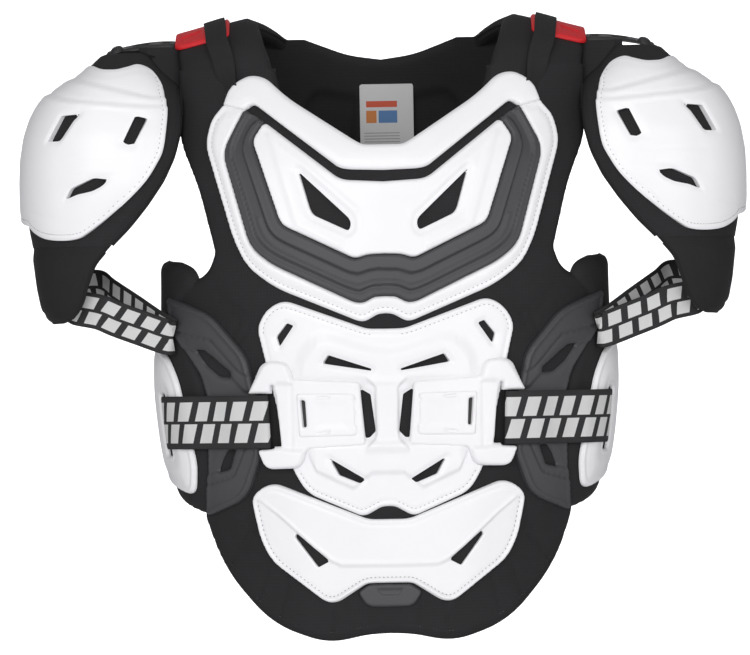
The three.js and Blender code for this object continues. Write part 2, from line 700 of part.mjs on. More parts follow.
// Red bracket: a thin saddle over the bridge's outer half
function bracket() {
  const base = GAP;
  const at = (offset) => (u, v) => {
    const along = THREE.MathUtils.lerp(0.235, 0.66, v);
    const x = THREE.MathUtils.lerp(BRACKET_INNER, BRACKET_OUTER - BRACKET_TAPER, u);
    return yokeAt(x, along, offset);
  };
  return slab(at(base + BRACKET_WALL), at(base), 4, 8);
}

// Webbing: from behind the collar's lobe, over the bracket, down the back.
const WEB_ROUTE = table('along place lift', [
  [0.00, 0.935, 0.05], [0.12, 0.955, 0.25], [0.20, 0.975, 1.0], [0.35, 0.985, 1.0], [0.50, 0.995, 1.0],
  [0.68, 1.000, 1.0], [0.78, 0.990, 0.3], [0.95, 0.960, 0.1],
]);
const WEB_TAIL = table('down place', [[0.095, 0.885], [0.065, 0.900], [0.035, 0.915]]);
function webStations() {
  const low = 2 * GAP + WEB_WALL / 2;
  const high = low + BRACKET_WALL + 2 * GAP;
  const onPad = WEB_TAIL.map((row) => {
    const place = torsoAt(WEB_PLACE * row.place, -CHEST_TOP - row.down * CHEST_HEIGHT, low);
    return { place, normal: skinNormal(place) };
  });
  const steps = 11;
  const onYoke = Array.from({ length: steps + 1 }, (_, i) => {
    const along = THREE.MathUtils.lerp(0.03, 0.95, i / steps);
    const x = WEB_PLACE * read(WEB_ROUTE, 'along', along, 'place');
    const lift = THREE.MathUtils.lerp(low, high, read(WEB_ROUTE, 'along', along, 'lift'));
    return { place: yokeAt(x, along, lift + GAP), normal: yokeNormal(x, along) };
  });
  return [...onPad, ...onYoke];
}
const webbing = () => band(webStations(), WEB_WIDTH, WEB_WALL);
// The hollow behind a collar lobe that the webbing comes out of
function webPocket() {
  const reach = WEB_WIDTH / 2 + 8 * GAP;
  const places = webStations().slice(0, 5).map(({ place }) => place);
  places[0].z -= reach / 3;
  const edge = (shift) => places.map((place) => new THREE.Vector2(place.x + shift, place.z));
  return plate([...edge(reach), ...edge(-reach).reverse()], [], 0, POCKET_DEPTH);
}
function skinNormal(place) {
  const low = torsoAt(place.x, place.z - 2, 0);
  const high = torsoAt(place.x, place.z + 2, 0);
  const near = torsoAt(place.x - 2, place.z, 0);
  const far = torsoAt(place.x + 2, place.z, 0);
  return far.sub(near).cross(high.sub(low)).normalize();
}

// Arm form: sections down the cup and the bicep pad, in shares of the cup's own sizes.
const ARM = table('level centre reach depth edge', [
  [-0.02, 0.985, 0.16, 0.24, 0.900],
  [0.06, 0.990, 0.31, 0.44, 0.840],
  [0.13, 0.995, 0.45, 0.63, 0.795],
  [0.20, 1.000, 0.66, 0.76, 0.775],
  [0.27, 1.000, 0.80, 0.86, 0.766],
  [0.35, 1.000, 0.885, 0.91, 0.763],
  [0.44, 1.000, 0.945, 0.96, 0.770],
  [0.56, 1.000, 0.985, 0.99, 0.795],
  [0.68, 1.000, 0.995, 1.00, 0.840],
  [0.80, 1.005, 0.98, 0.99, 0.905],
  [0.91, 1.030, 0.90, 0.96, 0.975],
  [1.00, 1.055, 0.80, 0.93, 1.045],
  [1.10, 1.080, 0.71, 0.89, 1.115],
  [1.22, 1.100, 0.63, 0.84, 1.150],
  [1.33, 1.110, 0.56, 0.80, 1.170],
  [1.40, 1.115, 0.46, 0.74, 1.190],
]);
// The pads reach less far round at the back than at the front.
const BACK_SHARE = 0.86;
function armPoint(share, z, offset) {
  const level = -z / CUP_DROP;
  const centre = CUP_AXIS * read(ARM, 'level', level, 'centre');
  const reach = CUP_REACH * read(ARM, 'level', level, 'reach') + offset;
  const depth = CUP_DEPTH * read(ARM, 'level', level, 'depth') + offset;
  const edge = CUP_AXIS * read(ARM, 'level', level, 'edge');
  const away = THREE.MathUtils.clamp((centre - edge) / (reach - offset), -0.92, 0.92);
  const limit = Math.PI / 2 + Math.asin(Math.sign(away) * Math.abs(away) ** (CUP_ROUNDNESS / 2));
  const angle = share * limit;
  const x = centre + reach * bulge(Math.cos(angle), CUP_ROUNDNESS);
  return new THREE.Vector3(x, -CUP_FORWARD - depth * bulge(Math.sin(angle), CUP_ROUNDNESS), z);
}
function armSkin(inner, outer, top, bottom, steps, rows) {
  const at = (offset) => (u, v) => armPoint(
    THREE.MathUtils.lerp(1, -BACK_SHARE, u),
    THREE.MathUtils.lerp(top, bottom, v),
    offset,
  );
  return slab(at(outer), at(inner), steps, rows);
}
const cupSkin = (inner, outer) => armSkin(inner, outer, -CUP_TOP, -CUP_DROP, 11, 9);
const cupPad = () => cupSkin(-CUP_PAD_WALL, 0);
const bicepPad = () => armSkin(-CUP_PAD_WALL, 0, -CUP_DROP - GAP, -CUP_DROP - BICEP_DROP, 9, 4);

// White cup shell: a dome over the pad, cut to its shield outline, with three vents in front
const CUP_EDGE = table('across down round', [
  [1.140, 0.040, 0.03], [1.045, 0.118, 0.07], [0.935, 0.060, 0.05], [0.830, 0.215, 0.10],
  [0.822, 0.520, 0.15], [0.905, 0.690, 0.20], [1.150, 0.965, 0.08], [1.260, 0.985, 0.15],
  [1.480, 0.940, 0],
  [1.480, 0.040, 0],
]);
const CUP_VENTS = [
  [[0.928, 0.355, 0], [0.895, 0.345, 0], [0.940, 0.490, 0], [0.975, 0.500, 0]],
  [[1.150, 0.320, 0], [1.215, 0.325, 0], [1.270, 0.465, 0], [1.235, 0.462, 0], [1.185, 0.345, 0]],
  [[1.030, 0.662, 0], [1.095, 0.655, 0.02], [1.190, 0.705, 0.02], [1.212, 0.765, 0], [1.110, 0.728, 0.05]],
];
function cupShell() {
  const through = (rows) => prism(rounded(corners(rows, CUP_AXIS, 0, CUP_DROP), false), -1, -FAR / 2);
  let solid = toSolid(cupSkin(GAP, GAP + CUP_WALL)).intersect(through(CUP_EDGE));
  for (const rows of CUP_VENTS) {
    const vent = corners(table('across down round', rows), CUP_AXIS, 0, CUP_DROP);
    solid = solid.subtract(prism(rounded(vent, false)));
  }
  return solid;
}

// Pierced rubber link from the bridge to the top of the cup
function cupLink() {
  const start = BRACKET_OUTER - LINK_LAP;
  const end = start + LINK_REACH;
  const at = (lift) => (u, v) => {
    const x = THREE.MathUtils.lerp(start, end, u);
    const arch = Math.sin(Math.PI * (0.35 + 0.65 * u));
    const top = LINK_RISE + LINK_SWELL * arch - LINK_FALL * u * u;
    return new THREE.Vector3(x, (v - 0.5) * LINK_DEPTH, top + (v - 0.5) * LINK_TILT + lift);
  };
  return slab(at(LINK_SEAT + LINK_WALL), at(LINK_SEAT), 6, 2);
}

// Elastic arm loop: sewn inside the bicep pad's front edge, round a crease, to its back edge.
// across is in shares of the cup's axis, forward and down in shares of its depth and drop.
const ARM_LOOP = table('across forward down', [
  [1.100, 0.715, 1.345], [1.030, 0.760, 1.385], [0.940, 0.815, 1.430], [0.870, 0.850, 1.465],
  [0.832, 0.868, 1.480], [0.824, 0.845, 1.478], [0.832, 0.815, 1.465], [0.880, 0.660, 1.425],
  [0.960, 0.340, 1.350], [1.050, -0.050, 1.270], [1.110, -0.320, 1.215],
]);
const ARM_SEWN = table('share down', [[0.70, 1.30], [0.86, 1.32]]);
function armStrap() {
  const inside = -CUP_PAD_WALL - STRAP_WALL / 2 - 7 * GAP;
  const sewn = (side, drop) => ARM_SEWN.map((row) => {
    const z = -(row.down + drop) * CUP_DROP;
    return { place: armPoint(side * row.share, z - ARM_STRAP_WIDTH / 2, inside).setZ(z) };
  });
  const free = ARM_LOOP.map((row) => ({
    place: new THREE.Vector3(row.across * CUP_AXIS, -row.forward * CUP_DEPTH, -row.down * CUP_DROP),
  }));
  const route = [...sewn(1, 0), ...free, ...sewn(-BACK_SHARE, -0.1).reverse()];
  return band(levelNormals(route), ARM_STRAP_WIDTH, STRAP_WALL);
}

// Bare label inside the neck, on the back pad's inner face
function label() {
  const face = -PAD_WALL - GAP;
  const half = LABEL_WIDTH / 2;
  const low = -LABEL_TOP - LABEL_HEIGHT;
  const edge = [[-half, -LABEL_TOP], [half, -LABEL_TOP], [half, low], [-half, low]];
  const points = edge.map(([x, z]) => new THREE.Vector2(x, z));
  return plate(points, [], face - LABEL_WALL, face, 1);
}

// The collar, with a shallow pocket behind each lobe where the webbing passes
function chestCollar() {
  const pocket = webPocket();
  const other = toSolid(mirrored(toGeometry(pocket)));
  return plate(collarShape(), [], GAP, GAP + COLLAR_WALL).subtract(pocket).subtract(other);
}

// Plain back plates
const backPlate = (rows, top, height) => bothSides(
  rounded(corners(table('across down round', rows), BACK_PLATE_HALF_WIDTH, top, height), true),
);
const UPPER_PLATE_EDGE = [
  [0.00, 0.00, 0], [0.70, 0.02, 0.15], [1.00, 0.25, 0.15], [0.80, 0.85, 0.15], [0.35, 1.00, 0.12], [0.00, 0.97, 0],
];
const UPPER_PLATE_VENTS = [[[0.25, 0.30, 0.02], [0.58, 0.22, 0.02], [0.66, 0.38, 0.02], [0.30, 0.42, 0.02]]];
const LOWER_PLATE_EDGE = [
  [0.00, 0.00, 0], [0.75, 0.00, 0.12], [0.95, 0.25, 0.12], [0.85, 0.80, 0.15], [0.40, 1.00, 0.12], [0.00, 0.96, 0],
];
const LOWER_PLATE_VENTS = [[[0.28, 0.30, 0.02], [0.62, 0.28, 0.02], [0.58, 0.48, 0.02], [0.30, 0.52, 0.02]]];
function upperBackPlate() {
  const shape = (rows) => (
    rounded(corners(table('across down round', rows), BACK_PLATE_HALF_WIDTH, BACK_PLATE_TOP, BACK_PLATE_HEIGHT))
  );
  const outline = backPlate(UPPER_PLATE_EDGE, BACK_PLATE_TOP, BACK_PLATE_HEIGHT);
  return plate(outline, onBothSides(UPPER_PLATE_VENTS.map(shape)), GAP, GAP + PLATE_WALL, 1);
}
function lowerBackPlate() {
  const shape = (rows) => (
    rounded(corners(table('across down round', rows), BACK_PLATE_HALF_WIDTH, KIDNEY_TOP, KIDNEY_PLATE_HEIGHT))
  );
  const outline = backPlate(LOWER_PLATE_EDGE, KIDNEY_TOP, KIDNEY_PLATE_HEIGHT);
  return plate(outline, onBothSides(LOWER_PLATE_VENTS.map(shape)), GAP, GAP + PLATE_WALL, 1);
}

// The assembly
const group = new THREE.Group();
function add(name, shape, finish) {
  const geometry = shape.isBufferGeometry ? shape : toGeometry(shape);
  const mesh = new THREE.Mesh(geometry, new THREE.MeshStandardMaterial(finish));
  mesh.name = name;
  group.add(mesh);
}
function addPair(name, shape, finish) {
  const geometry = shape.isBufferGeometry ? shape : toGeometry(shape);
  add(`${name}_right`, geometry, finish);
  add(`${name}_left`, mirrored(geometry), finish);
}

const vents = (rows, frame) => onBothSides(rows.map((row) => frame(row, false)));
add('front_pad', frontPad(), BLACK);
add('back_pad', backPad(), BLACK);
add('chest_rim', plate(rimShape(), [], GAP, GAP + RIM_WALL), WHITE);
add('chest_channel', plate(channelShape(), [], GAP, GAP + PLATE_WALL), GREY);
add('chest_insert', plate(insertShape(), vents([INSERT_VENT], chest), GAP, GAP + RIM_WALL), WHITE);
add('chest_collar', chestCollar(), WHITE);
add('abdomen_plate', plate(
  bothSides(abdomen(ABDOMEN_OUTSIDE)),
  vents(ABDOMEN_HOLES, abdomen),
  GAP,
  GAP + PLATE_WALL,
), WHITE);
add('belly_plate', plate(bothSides(belly(BELLY_OUTSIDE)), vents([BELLY_VENT], belly), GAP, GAP + PLATE_WALL), WHITE);
add('belly_tab', plate(bothSides(belly(TAB_EDGE)), [], GAP, GAP + PLATE_WALL), GREY);
addPair('side_pad', sidePad(), BLACK);
addPair('side_guard', sideGuard(), WHITE);
addPair('flank_panel', flankPanel(), GREY);
addPair('strap_clip', strapClip(), WHITE);
addPair('latch_tab', plate(
  abdomen(TAB_OUTSIDE, false),
  [],
  CLIP_BASE + TONGUE_WALL + GAP,
  CLIP_BASE + TONGUE_WALL + GAP + TAB_WALL,
), WHITE);
addPair('waist_strap', waistStrap(), BLACK);
addPair('yoke', yoke(), BLACK);
addPair('shoulder_bracket', bracket(), RED);
addPair('shoulder_webbing', webbing(), BLACK);
addPair('cup_link', cupLink(), BLACK);
addPair('cup_pad', cupPad(), BLACK);
addPair('cup_shell', cupShell(), WHITE);
addPair('bicep_pad', bicepPad(), BLACK);
addPair('arm_strap', armStrap(), BLACK);
add('label', label(), SILVER);
add('back_plate_upper', upperBackPlate(), WHITE);
add('back_plate_lower', lowerBackPlate(), WHITE);

export default group;
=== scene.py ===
"""Looks of a roost deflector: white moulded shells on black foam, shoulder cups and woven straps."""
import math

import bpy
import numpy as np
from mathutils import Matrix, Vector


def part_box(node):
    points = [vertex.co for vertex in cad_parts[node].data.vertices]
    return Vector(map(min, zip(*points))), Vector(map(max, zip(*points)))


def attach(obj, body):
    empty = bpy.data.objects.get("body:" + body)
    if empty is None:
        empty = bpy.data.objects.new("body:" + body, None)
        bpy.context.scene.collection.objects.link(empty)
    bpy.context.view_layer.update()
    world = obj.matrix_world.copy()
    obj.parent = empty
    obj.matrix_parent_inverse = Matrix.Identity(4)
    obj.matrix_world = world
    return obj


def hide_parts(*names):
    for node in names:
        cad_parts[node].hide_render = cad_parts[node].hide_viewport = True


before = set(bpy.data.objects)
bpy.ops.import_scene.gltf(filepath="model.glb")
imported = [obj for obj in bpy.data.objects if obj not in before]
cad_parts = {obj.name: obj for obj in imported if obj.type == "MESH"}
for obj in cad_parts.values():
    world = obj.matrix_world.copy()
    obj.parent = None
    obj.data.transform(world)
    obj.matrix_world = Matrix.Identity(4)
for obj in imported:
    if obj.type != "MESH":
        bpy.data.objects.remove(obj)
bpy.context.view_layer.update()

# Camera: straight from the front, a long lens, rolled halfway between the lean of the plates and the pads
PICTURE_WIDE = 750
PIXEL = 0.88e-3
DISTANCE = 9.0
PLATE_NEARER = 0.04
MIDDLE_X, MIDDLE_Z = -9.3e-3, -0.2488
ROLL = math.radians(1.0)
camera = bpy.data.objects.new("camera", bpy.data.cameras.new("camera"))
bpy.context.scene.collection.objects.link(camera)
bpy.context.scene.camera = camera
camera.data.sensor_width = 36.0
camera.data.lens = camera.data.sensor_width * (DISTANCE - PLATE_NEARER) / (PICTURE_WIDE * PIXEL)
camera.location = (MIDDLE_X, -DISTANCE, MIDDLE_Z)
camera.matrix_world = (
    Matrix.Translation(camera.location)
    @ Matrix.Rotation(math.pi / 2, 4, "X")
    @ Matrix.Rotation(-ROLL, 4, "Z")
)

bpy.context.scene.view_settings.view_transform = "Standard"

# Sizes in millimetres, shared with the frame
GAP = 0.3
PAD_WALL = 12.0
HALF_WIDTH, FRONT_DEPTH, BACK_DEPTH, ROUNDNESS, HEM = 196.0, 125.0, 124.0, 2.4, 522.0
CUP_AXIS, CUP_REACH, CUP_DEPTH, CUP_FORWARD, CUP_DROP = 228.0, 87.0, 76.0, 8.0, 172.0
CUP_PAD_WALL = 8.0
SHOULDER_RISE, SHOULDER_CREST, SHOULDER_FALL, NECK_FALL = 27.0, 118.0, 0.31, 0.45

# Torso sections: level in shares of the hem's drop, the rest in shares of the torso's sizes
TORSO = np.array([[-.06, .97, .47, .70], [0, .98, .58, .80], [.06, .985, .70, .88], [.12, .99, .81, .94],
                  [.19, 1, .92, .99], [.29, .995, .98, 1], [.38, .99, 1, 1], [.48, .995, .99, .98],
                  [.58, 1, .97, .945], [.67, .975, .95, .92], [.77, .92, .94, .91], [.86, .86, .935, .90],
                  [1.02, .79, .93, .88]])
# Arm sections: level in shares of the cup's drop, the rest in shares of the cup's sizes
ARM = np.array([[-.02, .985, .16, .24, .900], [.06, .990, .31, .44, .840], [.13, .995, .45, .63, .795],
                [.20, 1.000, .66, .76, .775], [.27, 1.000, .80, .86, .766], [.35, 1.000, .885, .91, .763],
                [.44, 1.000, .945, .96, .770], [.56, 1.000, .985, .99, .795], [.68, 1.000, .995, 1.00, .840],
                [.80, 1.005, .98, .99, .905], [.91, 1.030, .90, .96, .975], [1.00, 1.055, .80, .93, 1.045],
                [1.10, 1.080, .71, .89, 1.115], [1.22, 1.100, .63, .84, 1.150],
                [1.33, 1.110, .56, .80, 1.170], [1.40, 1.115, .46, .74, 1.190]])


def smoothed(rows, blur):
    """A section table read at 600 levels and averaged over a window of width blur: no kinks between rows."""
    fine = np.linspace(rows[0, 0] - .1, rows[-1, 0] + .1, 600)
    window = np.hanning(max(3, int(blur / (fine[1] - fine[0])) | 1) + 2)
    window /= window.sum()
    columns = [fine]
    for k in range(1, rows.shape[1]):
        line = np.interp(fine, rows[:, 0], rows[:, k])
        columns.append(np.convolve(np.pad(line, len(window) // 2, mode="edge"), window, mode="valid"))
    return np.array(columns)


TORSO_FINE = smoothed(TORSO, .10)
ARM_FINE = smoothed(ARM, .09)


def power(value, share):
    """sign(value) |value|^share"""
    return np.sign(value) * np.abs(value) ** share


# Arc length round the torso's section, from the chest's middle to the back's middle
TURN = np.linspace(0, math.pi, 1601)
_ring = np.stack([HALF_WIDTH * power(np.sin(TURN), 2 / ROUNDNESS),
                  (FRONT_DEPTH + BACK_DEPTH) / 2 * power(np.cos(TURN), 2 / ROUNDNESS)])
ARC = np.concatenate([[0], np.cumsum(np.hypot(*np.diff(_ring, axis=1)))])
HALF_RING = ARC[-1]


def torso(s, z, lift):
    """Point of the torso at arc s from the chest's middle: (w sin^(2/n), -d cos^(2/n), z), grown by lift."""
    level = -z / HEM
    turn = np.interp(np.abs(s), ARC, TURN)
    width = HALF_WIDTH * np.interp(level, TORSO_FINE[0], TORSO_FINE[1]) + lift
    front = FRONT_DEPTH * np.interp(level, TORSO_FINE[0], TORSO_FINE[2]) + lift
    back = BACK_DEPTH * np.interp(level, TORSO_FINE[0], TORSO_FINE[3]) + lift
    depth = np.where(turn < math.pi / 2, front, back)
    x = width * power(np.sin(turn), 2 / ROUNDNESS) * np.where(s < 0, -1, 1)
    return np.stack([x, -depth * power(np.cos(turn), 2 / ROUNDNESS), z + 0 * x], -1)


def arc_of(x, z, lift=0.0, back=False):
    """The arc at which the torso's front, or its back, has the distance x from the middle."""
    width = HALF_WIDTH * np.interp(-z / HEM, TORSO_FINE[0], TORSO_FINE[1]) + lift
    turn = np.arcsin(np.clip(np.abs(x) / width, 0, .9995) ** (ROUNDNESS / 2))
    if back:
        turn = math.pi - turn
    return np.interp(turn, TURN, ARC) * np.where(x < 0, -1, 1)


def arm_sizes(z, lift):
    """Middle, reach, depth and end angle of the arm form at a level, between its listed sections."""
    level = -z / CUP_DROP
    centre, reach, depth, edge = (np.interp(level, ARM_FINE[0], ARM_FINE[k]) for k in (1, 2, 3, 4))
    away = np.clip((centre - edge) * CUP_AXIS / (CUP_REACH * reach), -.92, .92)
    limit = math.pi / 2 + np.arcsin(power(away, ROUNDNESS / 2))
    return CUP_AXIS * centre, CUP_REACH * reach + lift, CUP_DEPTH * depth + lift, limit


ARM_ARC = 190.0


def arm(s, z, lift):
    """Point of the right arm form: s / 190 of the end angle round a superellipse, from its outer line."""
    centre, reach, depth, limit = arm_sizes(z, lift)
    angle = s / ARM_ARC * limit
    x = centre + reach * power(np.cos(angle), 2 / ROUNDNESS)
    return np.stack([x, -CUP_FORWARD - depth * power(np.sin(angle), 2 / ROUNDNESS), z + 0 * x], -1)


def arm_s(x, z, lift=0.0):
    """The s at which the arm form's front has the place x."""
    centre, reach, _, limit = arm_sizes(z, lift)
    cosine = np.clip((x - centre) / reach, -1, 1)
    return np.arccos(power(cosine, ROUNDNESS / 2)) / limit * ARM_ARC


FRONT_SEAM, BACK_SEAM = -20.0, 8.0


def yoke(x, along, lift):
    """Shoulder bridge: y = middle - half cos(pi along), z = chord + rise sin(pi along), lifted outward."""
    def place(x, along):
        """A point on the bridge itself, without lift."""
        low, high = FRONT_SEAM + 0 * x, BACK_SEAM + 0 * x
        front = torso(arc_of(x, low), low, 0)
        back = torso(arc_of(x, high, 0, True), high, 0)
        beyond = x - SHOULDER_CREST
        crest = SHOULDER_RISE - np.where(beyond > 0, SHOULDER_FALL * beyond, -NECK_FALL * beyond)
        # a softened ridge over the crest, and a lean at each seam that carries the torso's own slope on
        crest = crest - .8 * np.exp(-(beyond / 9) ** 2)
        turn = math.pi * along
        y = (front[..., 1] + back[..., 1]) / 2 - (back[..., 1] - front[..., 1]) / 2 * np.cos(turn)
        y = y + (19 * np.exp(-along / .15) - 12 * np.exp(-(1 - along) / .15)) * np.sin(turn)
        chord = front[..., 2] + (back[..., 2] - front[..., 2]) * along
        return np.stack([x + 0 * y, y, chord + (crest + 6.0) * np.sin(turn)], -1)
    x, along = np.broadcast_arrays(np.asarray(x, float), np.asarray(along, float))
    over = place(x + 1, along) - place(x - 1, along)
    down = place(x, along + .01) - place(x, along - .01)
    normal = np.cross(over, down)
    normal /= np.linalg.norm(normal, axis=-1, keepdims=True)
    return place(x, along) + normal * np.asarray(lift)[..., None]


# Outlines
def rounded(rows, is_open=False, steps=7):
    """Rows (x, z, round): each corner becomes a parabola that starts and ends round away from it."""
    rows = [(tuple(r) + (0,))[:3] for r in rows]
    out = []
    for i, (x, z, radius) in enumerate(rows):
        here = np.array([x, z], float)
        if radius == 0 or (is_open and i in (0, len(rows) - 1)):
            out.append(here)
            continue
        before = np.array(rows[i - 1][:2]) - here
        after = np.array(rows[(i + 1) % len(rows)][:2]) - here
        reach = min(radius, .48 * np.hypot(*before), .48 * np.hypot(*after))
        a, b = here + before / np.hypot(*before) * reach, here + after / np.hypot(*after) * reach
        for t in np.linspace(0, 1, steps):
            out.append((1 - t) ** 2 * a + 2 * t * (1 - t) * here + t ** 2 * b)
    return np.array(out)


def both(half):
    """A half outline from middle line to middle line, closed by its mirror image."""
    half = np.asarray(half)
    other = half[np.abs(half[:, 0]) > 1e-6][::-1] * [-1, 1]
    return np.concatenate([half, other])


def flip(points):
    """The mirror image across the middle line: x becomes -x."""
    return np.asarray(points) * [-1, 1]


def pair(holes):
    """Holes of the right side with their mirror images."""
    return [np.asarray(h) for h in holes] + [flip(h) for h in holes]


def dense(points, step=3.0, closed=True):
    """Points put along an outline at even distances."""
    p = np.vstack([points, points[:1]]) if closed else np.asarray(points)
    run = np.concatenate([[0], np.cumsum(np.hypot(*np.diff(p, axis=0).T))])
    at = np.linspace(0, run[-1], max(2, int(run[-1] / step)) + 1)
    if closed:
        at = at[:-1]
    return np.stack([np.interp(at, run, p[:, 0]), np.interp(at, run, p[:, 1])], 1)


def nearest(points, line, closed=True):
    """Distance from each point to a polyline, with the nearest place on it."""
    a = np.asarray(line, float)
    b = np.roll(a, -1, 0) if closed else a[1:]
    a = a if closed else a[:-1]
    best = np.full(len(points), 1e18)
    place = np.zeros((len(points), 2))
    d = b - a
    length = np.maximum((d ** 2).sum(1), 1e-12)
    for start in range(0, len(points), 20000):
        q = points[start:start + 20000]
        t = np.clip(((q[:, None] - a) * d).sum(2) / length, 0, 1)
        near = a + t[..., None] * d
        gap = ((q[:, None] - near) ** 2).sum(2)
        k = gap.argmin(1)
        rows = np.arange(len(q))
        best[start:start + 20000] = gap[rows, k]
        place[start:start + 20000] = near[rows, k]
    return np.sqrt(best), place


def inside(points, line):
    """True where a point lies inside a closed outline, by crossings of a level ray."""
    a = np.asarray(line, float)
    b = np.roll(a, -1, 0)
    hit = np.zeros(len(points), bool)
    for start in range(0, len(points), 20000):
        q = points[start:start + 20000]
        z = q[:, 1:2]
        crosses = (a[:, 1] > z) != (b[:, 1] > z)
        with np.errstate(divide="ignore", invalid="ignore"):
            x = a[:, 0] + (z - a[:, 1]) * (b[:, 0] - a[:, 0]) / (b[:, 1] - a[:, 1])
        hit[start:start + 20000] = (crosses & (q[:, 0:1] < x)).sum(1) % 2 == 1
    return hit


def signed(points, line):
    """Distance to a closed outline, positive inside it."""
    gap, _ = nearest(points, line)
    return np.where(inside(points, line), gap, -gap)


def smooth(low, high, value):
    """0 below low, 1 above high and t^2 (3 - 2 t) between them."""
    t = np.clip((value - low) / (high - low), 0, 1)
    return t * t * (3 - 2 * t)


def groove(points, line, width, closed=False):
    """1 on a line, falling to 0 at half the width away."""
    gap, _ = nearest(points, line, closed)
    return 1 - smooth(0, width / 2, gap)


def dome(gap, radius):
    """Quarter round: rises from 0 at the edge to 1 at radius inside it."""
    t = np.clip(gap / radius, 0, 1)
    return np.sqrt(np.clip(1 - (1 - t) ** 2, 0, 1))


# Meshes
def mesh(name, vertices, faces, slot, shading=None, attributes=None):
    """One object from arrays: vertices in millimetres, faces as rows of four (or three) indices."""
    data = bpy.data.meshes.new(name)
    faces = np.asarray(faces, np.int64)
    data.vertices.add(len(vertices))
    data.vertices.foreach_set("co", (np.asarray(vertices) / 1000.0).astype(np.float32).ravel())
    data.loops.add(faces.size)
    data.loops.foreach_set("vertex_index", faces.ravel().astype(np.int32))
    data.polygons.add(len(faces))
    data.polygons.foreach_set("loop_start", np.arange(0, faces.size, faces.shape[1], dtype=np.int32))
    for key, values in (attributes or {}).items():
        values = np.asarray(values, np.float32)
        kind = "FLOAT" if values.ndim == 1 else "FLOAT_VECTOR"
        attribute = data.attributes.new(key, kind, "POINT")
        attribute.data.foreach_set("value" if values.ndim == 1 else "vector", values.ravel())
    data.update()
    data.validate()
    data.polygons.foreach_set("use_smooth", np.ones(len(data.polygons), bool))
    obj = bpy.data.objects.new(name, data)
    bpy.context.scene.collection.objects.link(obj)
    if shading:
        data.materials.append(shading)
    if slot:
        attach(obj, "root")
    return obj


def cells_of(outline, holes, step):
    """Grid cells of an outline cut by its holes, their outside corners drawn onto the outline.

    Corner (i, j) starts at (x0 + i step, z0 + j step). Corners with a signed distance under 0.3 step go to
    the nearest place on the outline. Returns the places, the corners of each cell and the distance inside.
    """
    low, high = outline.min(0) - step, outline.max(0) + step
    nx, nz = (int(math.ceil(v)) + 1 for v in (high - low) / step)
    i, j = np.meshgrid(np.arange(nx), np.arange(nz))
    places = np.stack([low[0] + i.ravel() * step, low[1] + j.ravel() * step], 1)
    gap, near = nearest(places, outline)
    gap = np.where(inside(places, outline), gap, -gap)
    for hole in holes:
        hole_gap, hole_near = nearest(places, hole)
        hole_gap = np.where(inside(places, hole), -hole_gap, hole_gap)
        closer = hole_gap < gap
        near = np.where(closer[:, None], hole_near, near)
        gap = np.where(closer, hole_gap, gap)
    corner = (np.arange(nz - 1)[:, None] * nx + np.arange(nx - 1)).ravel()
    quads = np.stack([corner, corner + 1, corner + 1 + nx, corner + nx], 1)
    quads = quads[(gap[quads] > .3 * step).any(1)]
    edge = gap < .3 * step
    places = np.where(edge[:, None], near, places)
    gap = np.where(edge, 0, gap)
    used, quads = np.unique(quads, return_inverse=True)
    return places[used], quads.reshape(-1, 4), gap[used]


def shell(name, outline, holes, where, top, base, slot, shading, step=1.6, lining=None):
    """A closed piece over an outline: its face at lift top(places, gap), its underside at lift base.

    where(s, z, lift) puts a flat place on the form. The rim joins the face's edge to the underside's.
    """
    flat, quads, gap = cells_of(np.asarray(outline), [np.asarray(h) for h in holes], step)
    lift = top(flat, gap)
    under = lining(flat, gap) if lining else np.full(len(flat), float(base))
    under = np.minimum(under, lift - .05)
    face = where(flat[:, 0], flat[:, 1], lift)
    back = where(flat[:, 0], flat[:, 1], under)
    n = len(flat)
    ways = np.concatenate([quads[:, [0, 1]], quads[:, [1, 2]], quads[:, [2, 3]], quads[:, [3, 0]]])
    key = np.sort(ways, 1) @ np.array([n + 1, 1])
    _, first, count = np.unique(key, return_index=True, return_counts=True)
    rim = ways[first[count == 1]]
    walls = np.stack([rim[:, 1], rim[:, 0], rim[:, 0] + n, rim[:, 1] + n], 1)
    faces = np.concatenate([quads, quads[:, ::-1] + n, walls])
    vertices = np.concatenate([face, back])
    if oriented(vertices, faces) < 0:
        faces = faces[:, ::-1]
    attributes = {"flat": np.concatenate([np.column_stack([flat, lift]), np.column_stack([flat, under])]),
                  "rim": np.concatenate([gap, gap * 0])}
    piece = mesh(name, vertices, faces, slot, shading, attributes)
    ends = np.zeros(len(piece.data.edges) * 2, np.int32)
    piece.data.edges.foreach_get("vertices", ends)
    ends = np.sort(ends.reshape(-1, 2), 1) @ np.array([2 * n + 1, 1])
    rims = np.sort(np.concatenate([rim, rim + n]), 1) @ np.array([2 * n + 1, 1])
    piece.data.edges.foreach_set("use_edge_sharp", np.isin(ends, rims))
    return piece


def oriented(vertices, faces):
    """Six times the volume that the faces enclose, positive where they look outward."""
    v = vertices[faces]
    total = 0.0
    for k in range(1, faces.shape[1] - 1):
        total += np.einsum("ij,ij->i", v[:, 0], np.cross(v[:, k], v[:, k + 1])).sum()
    return total


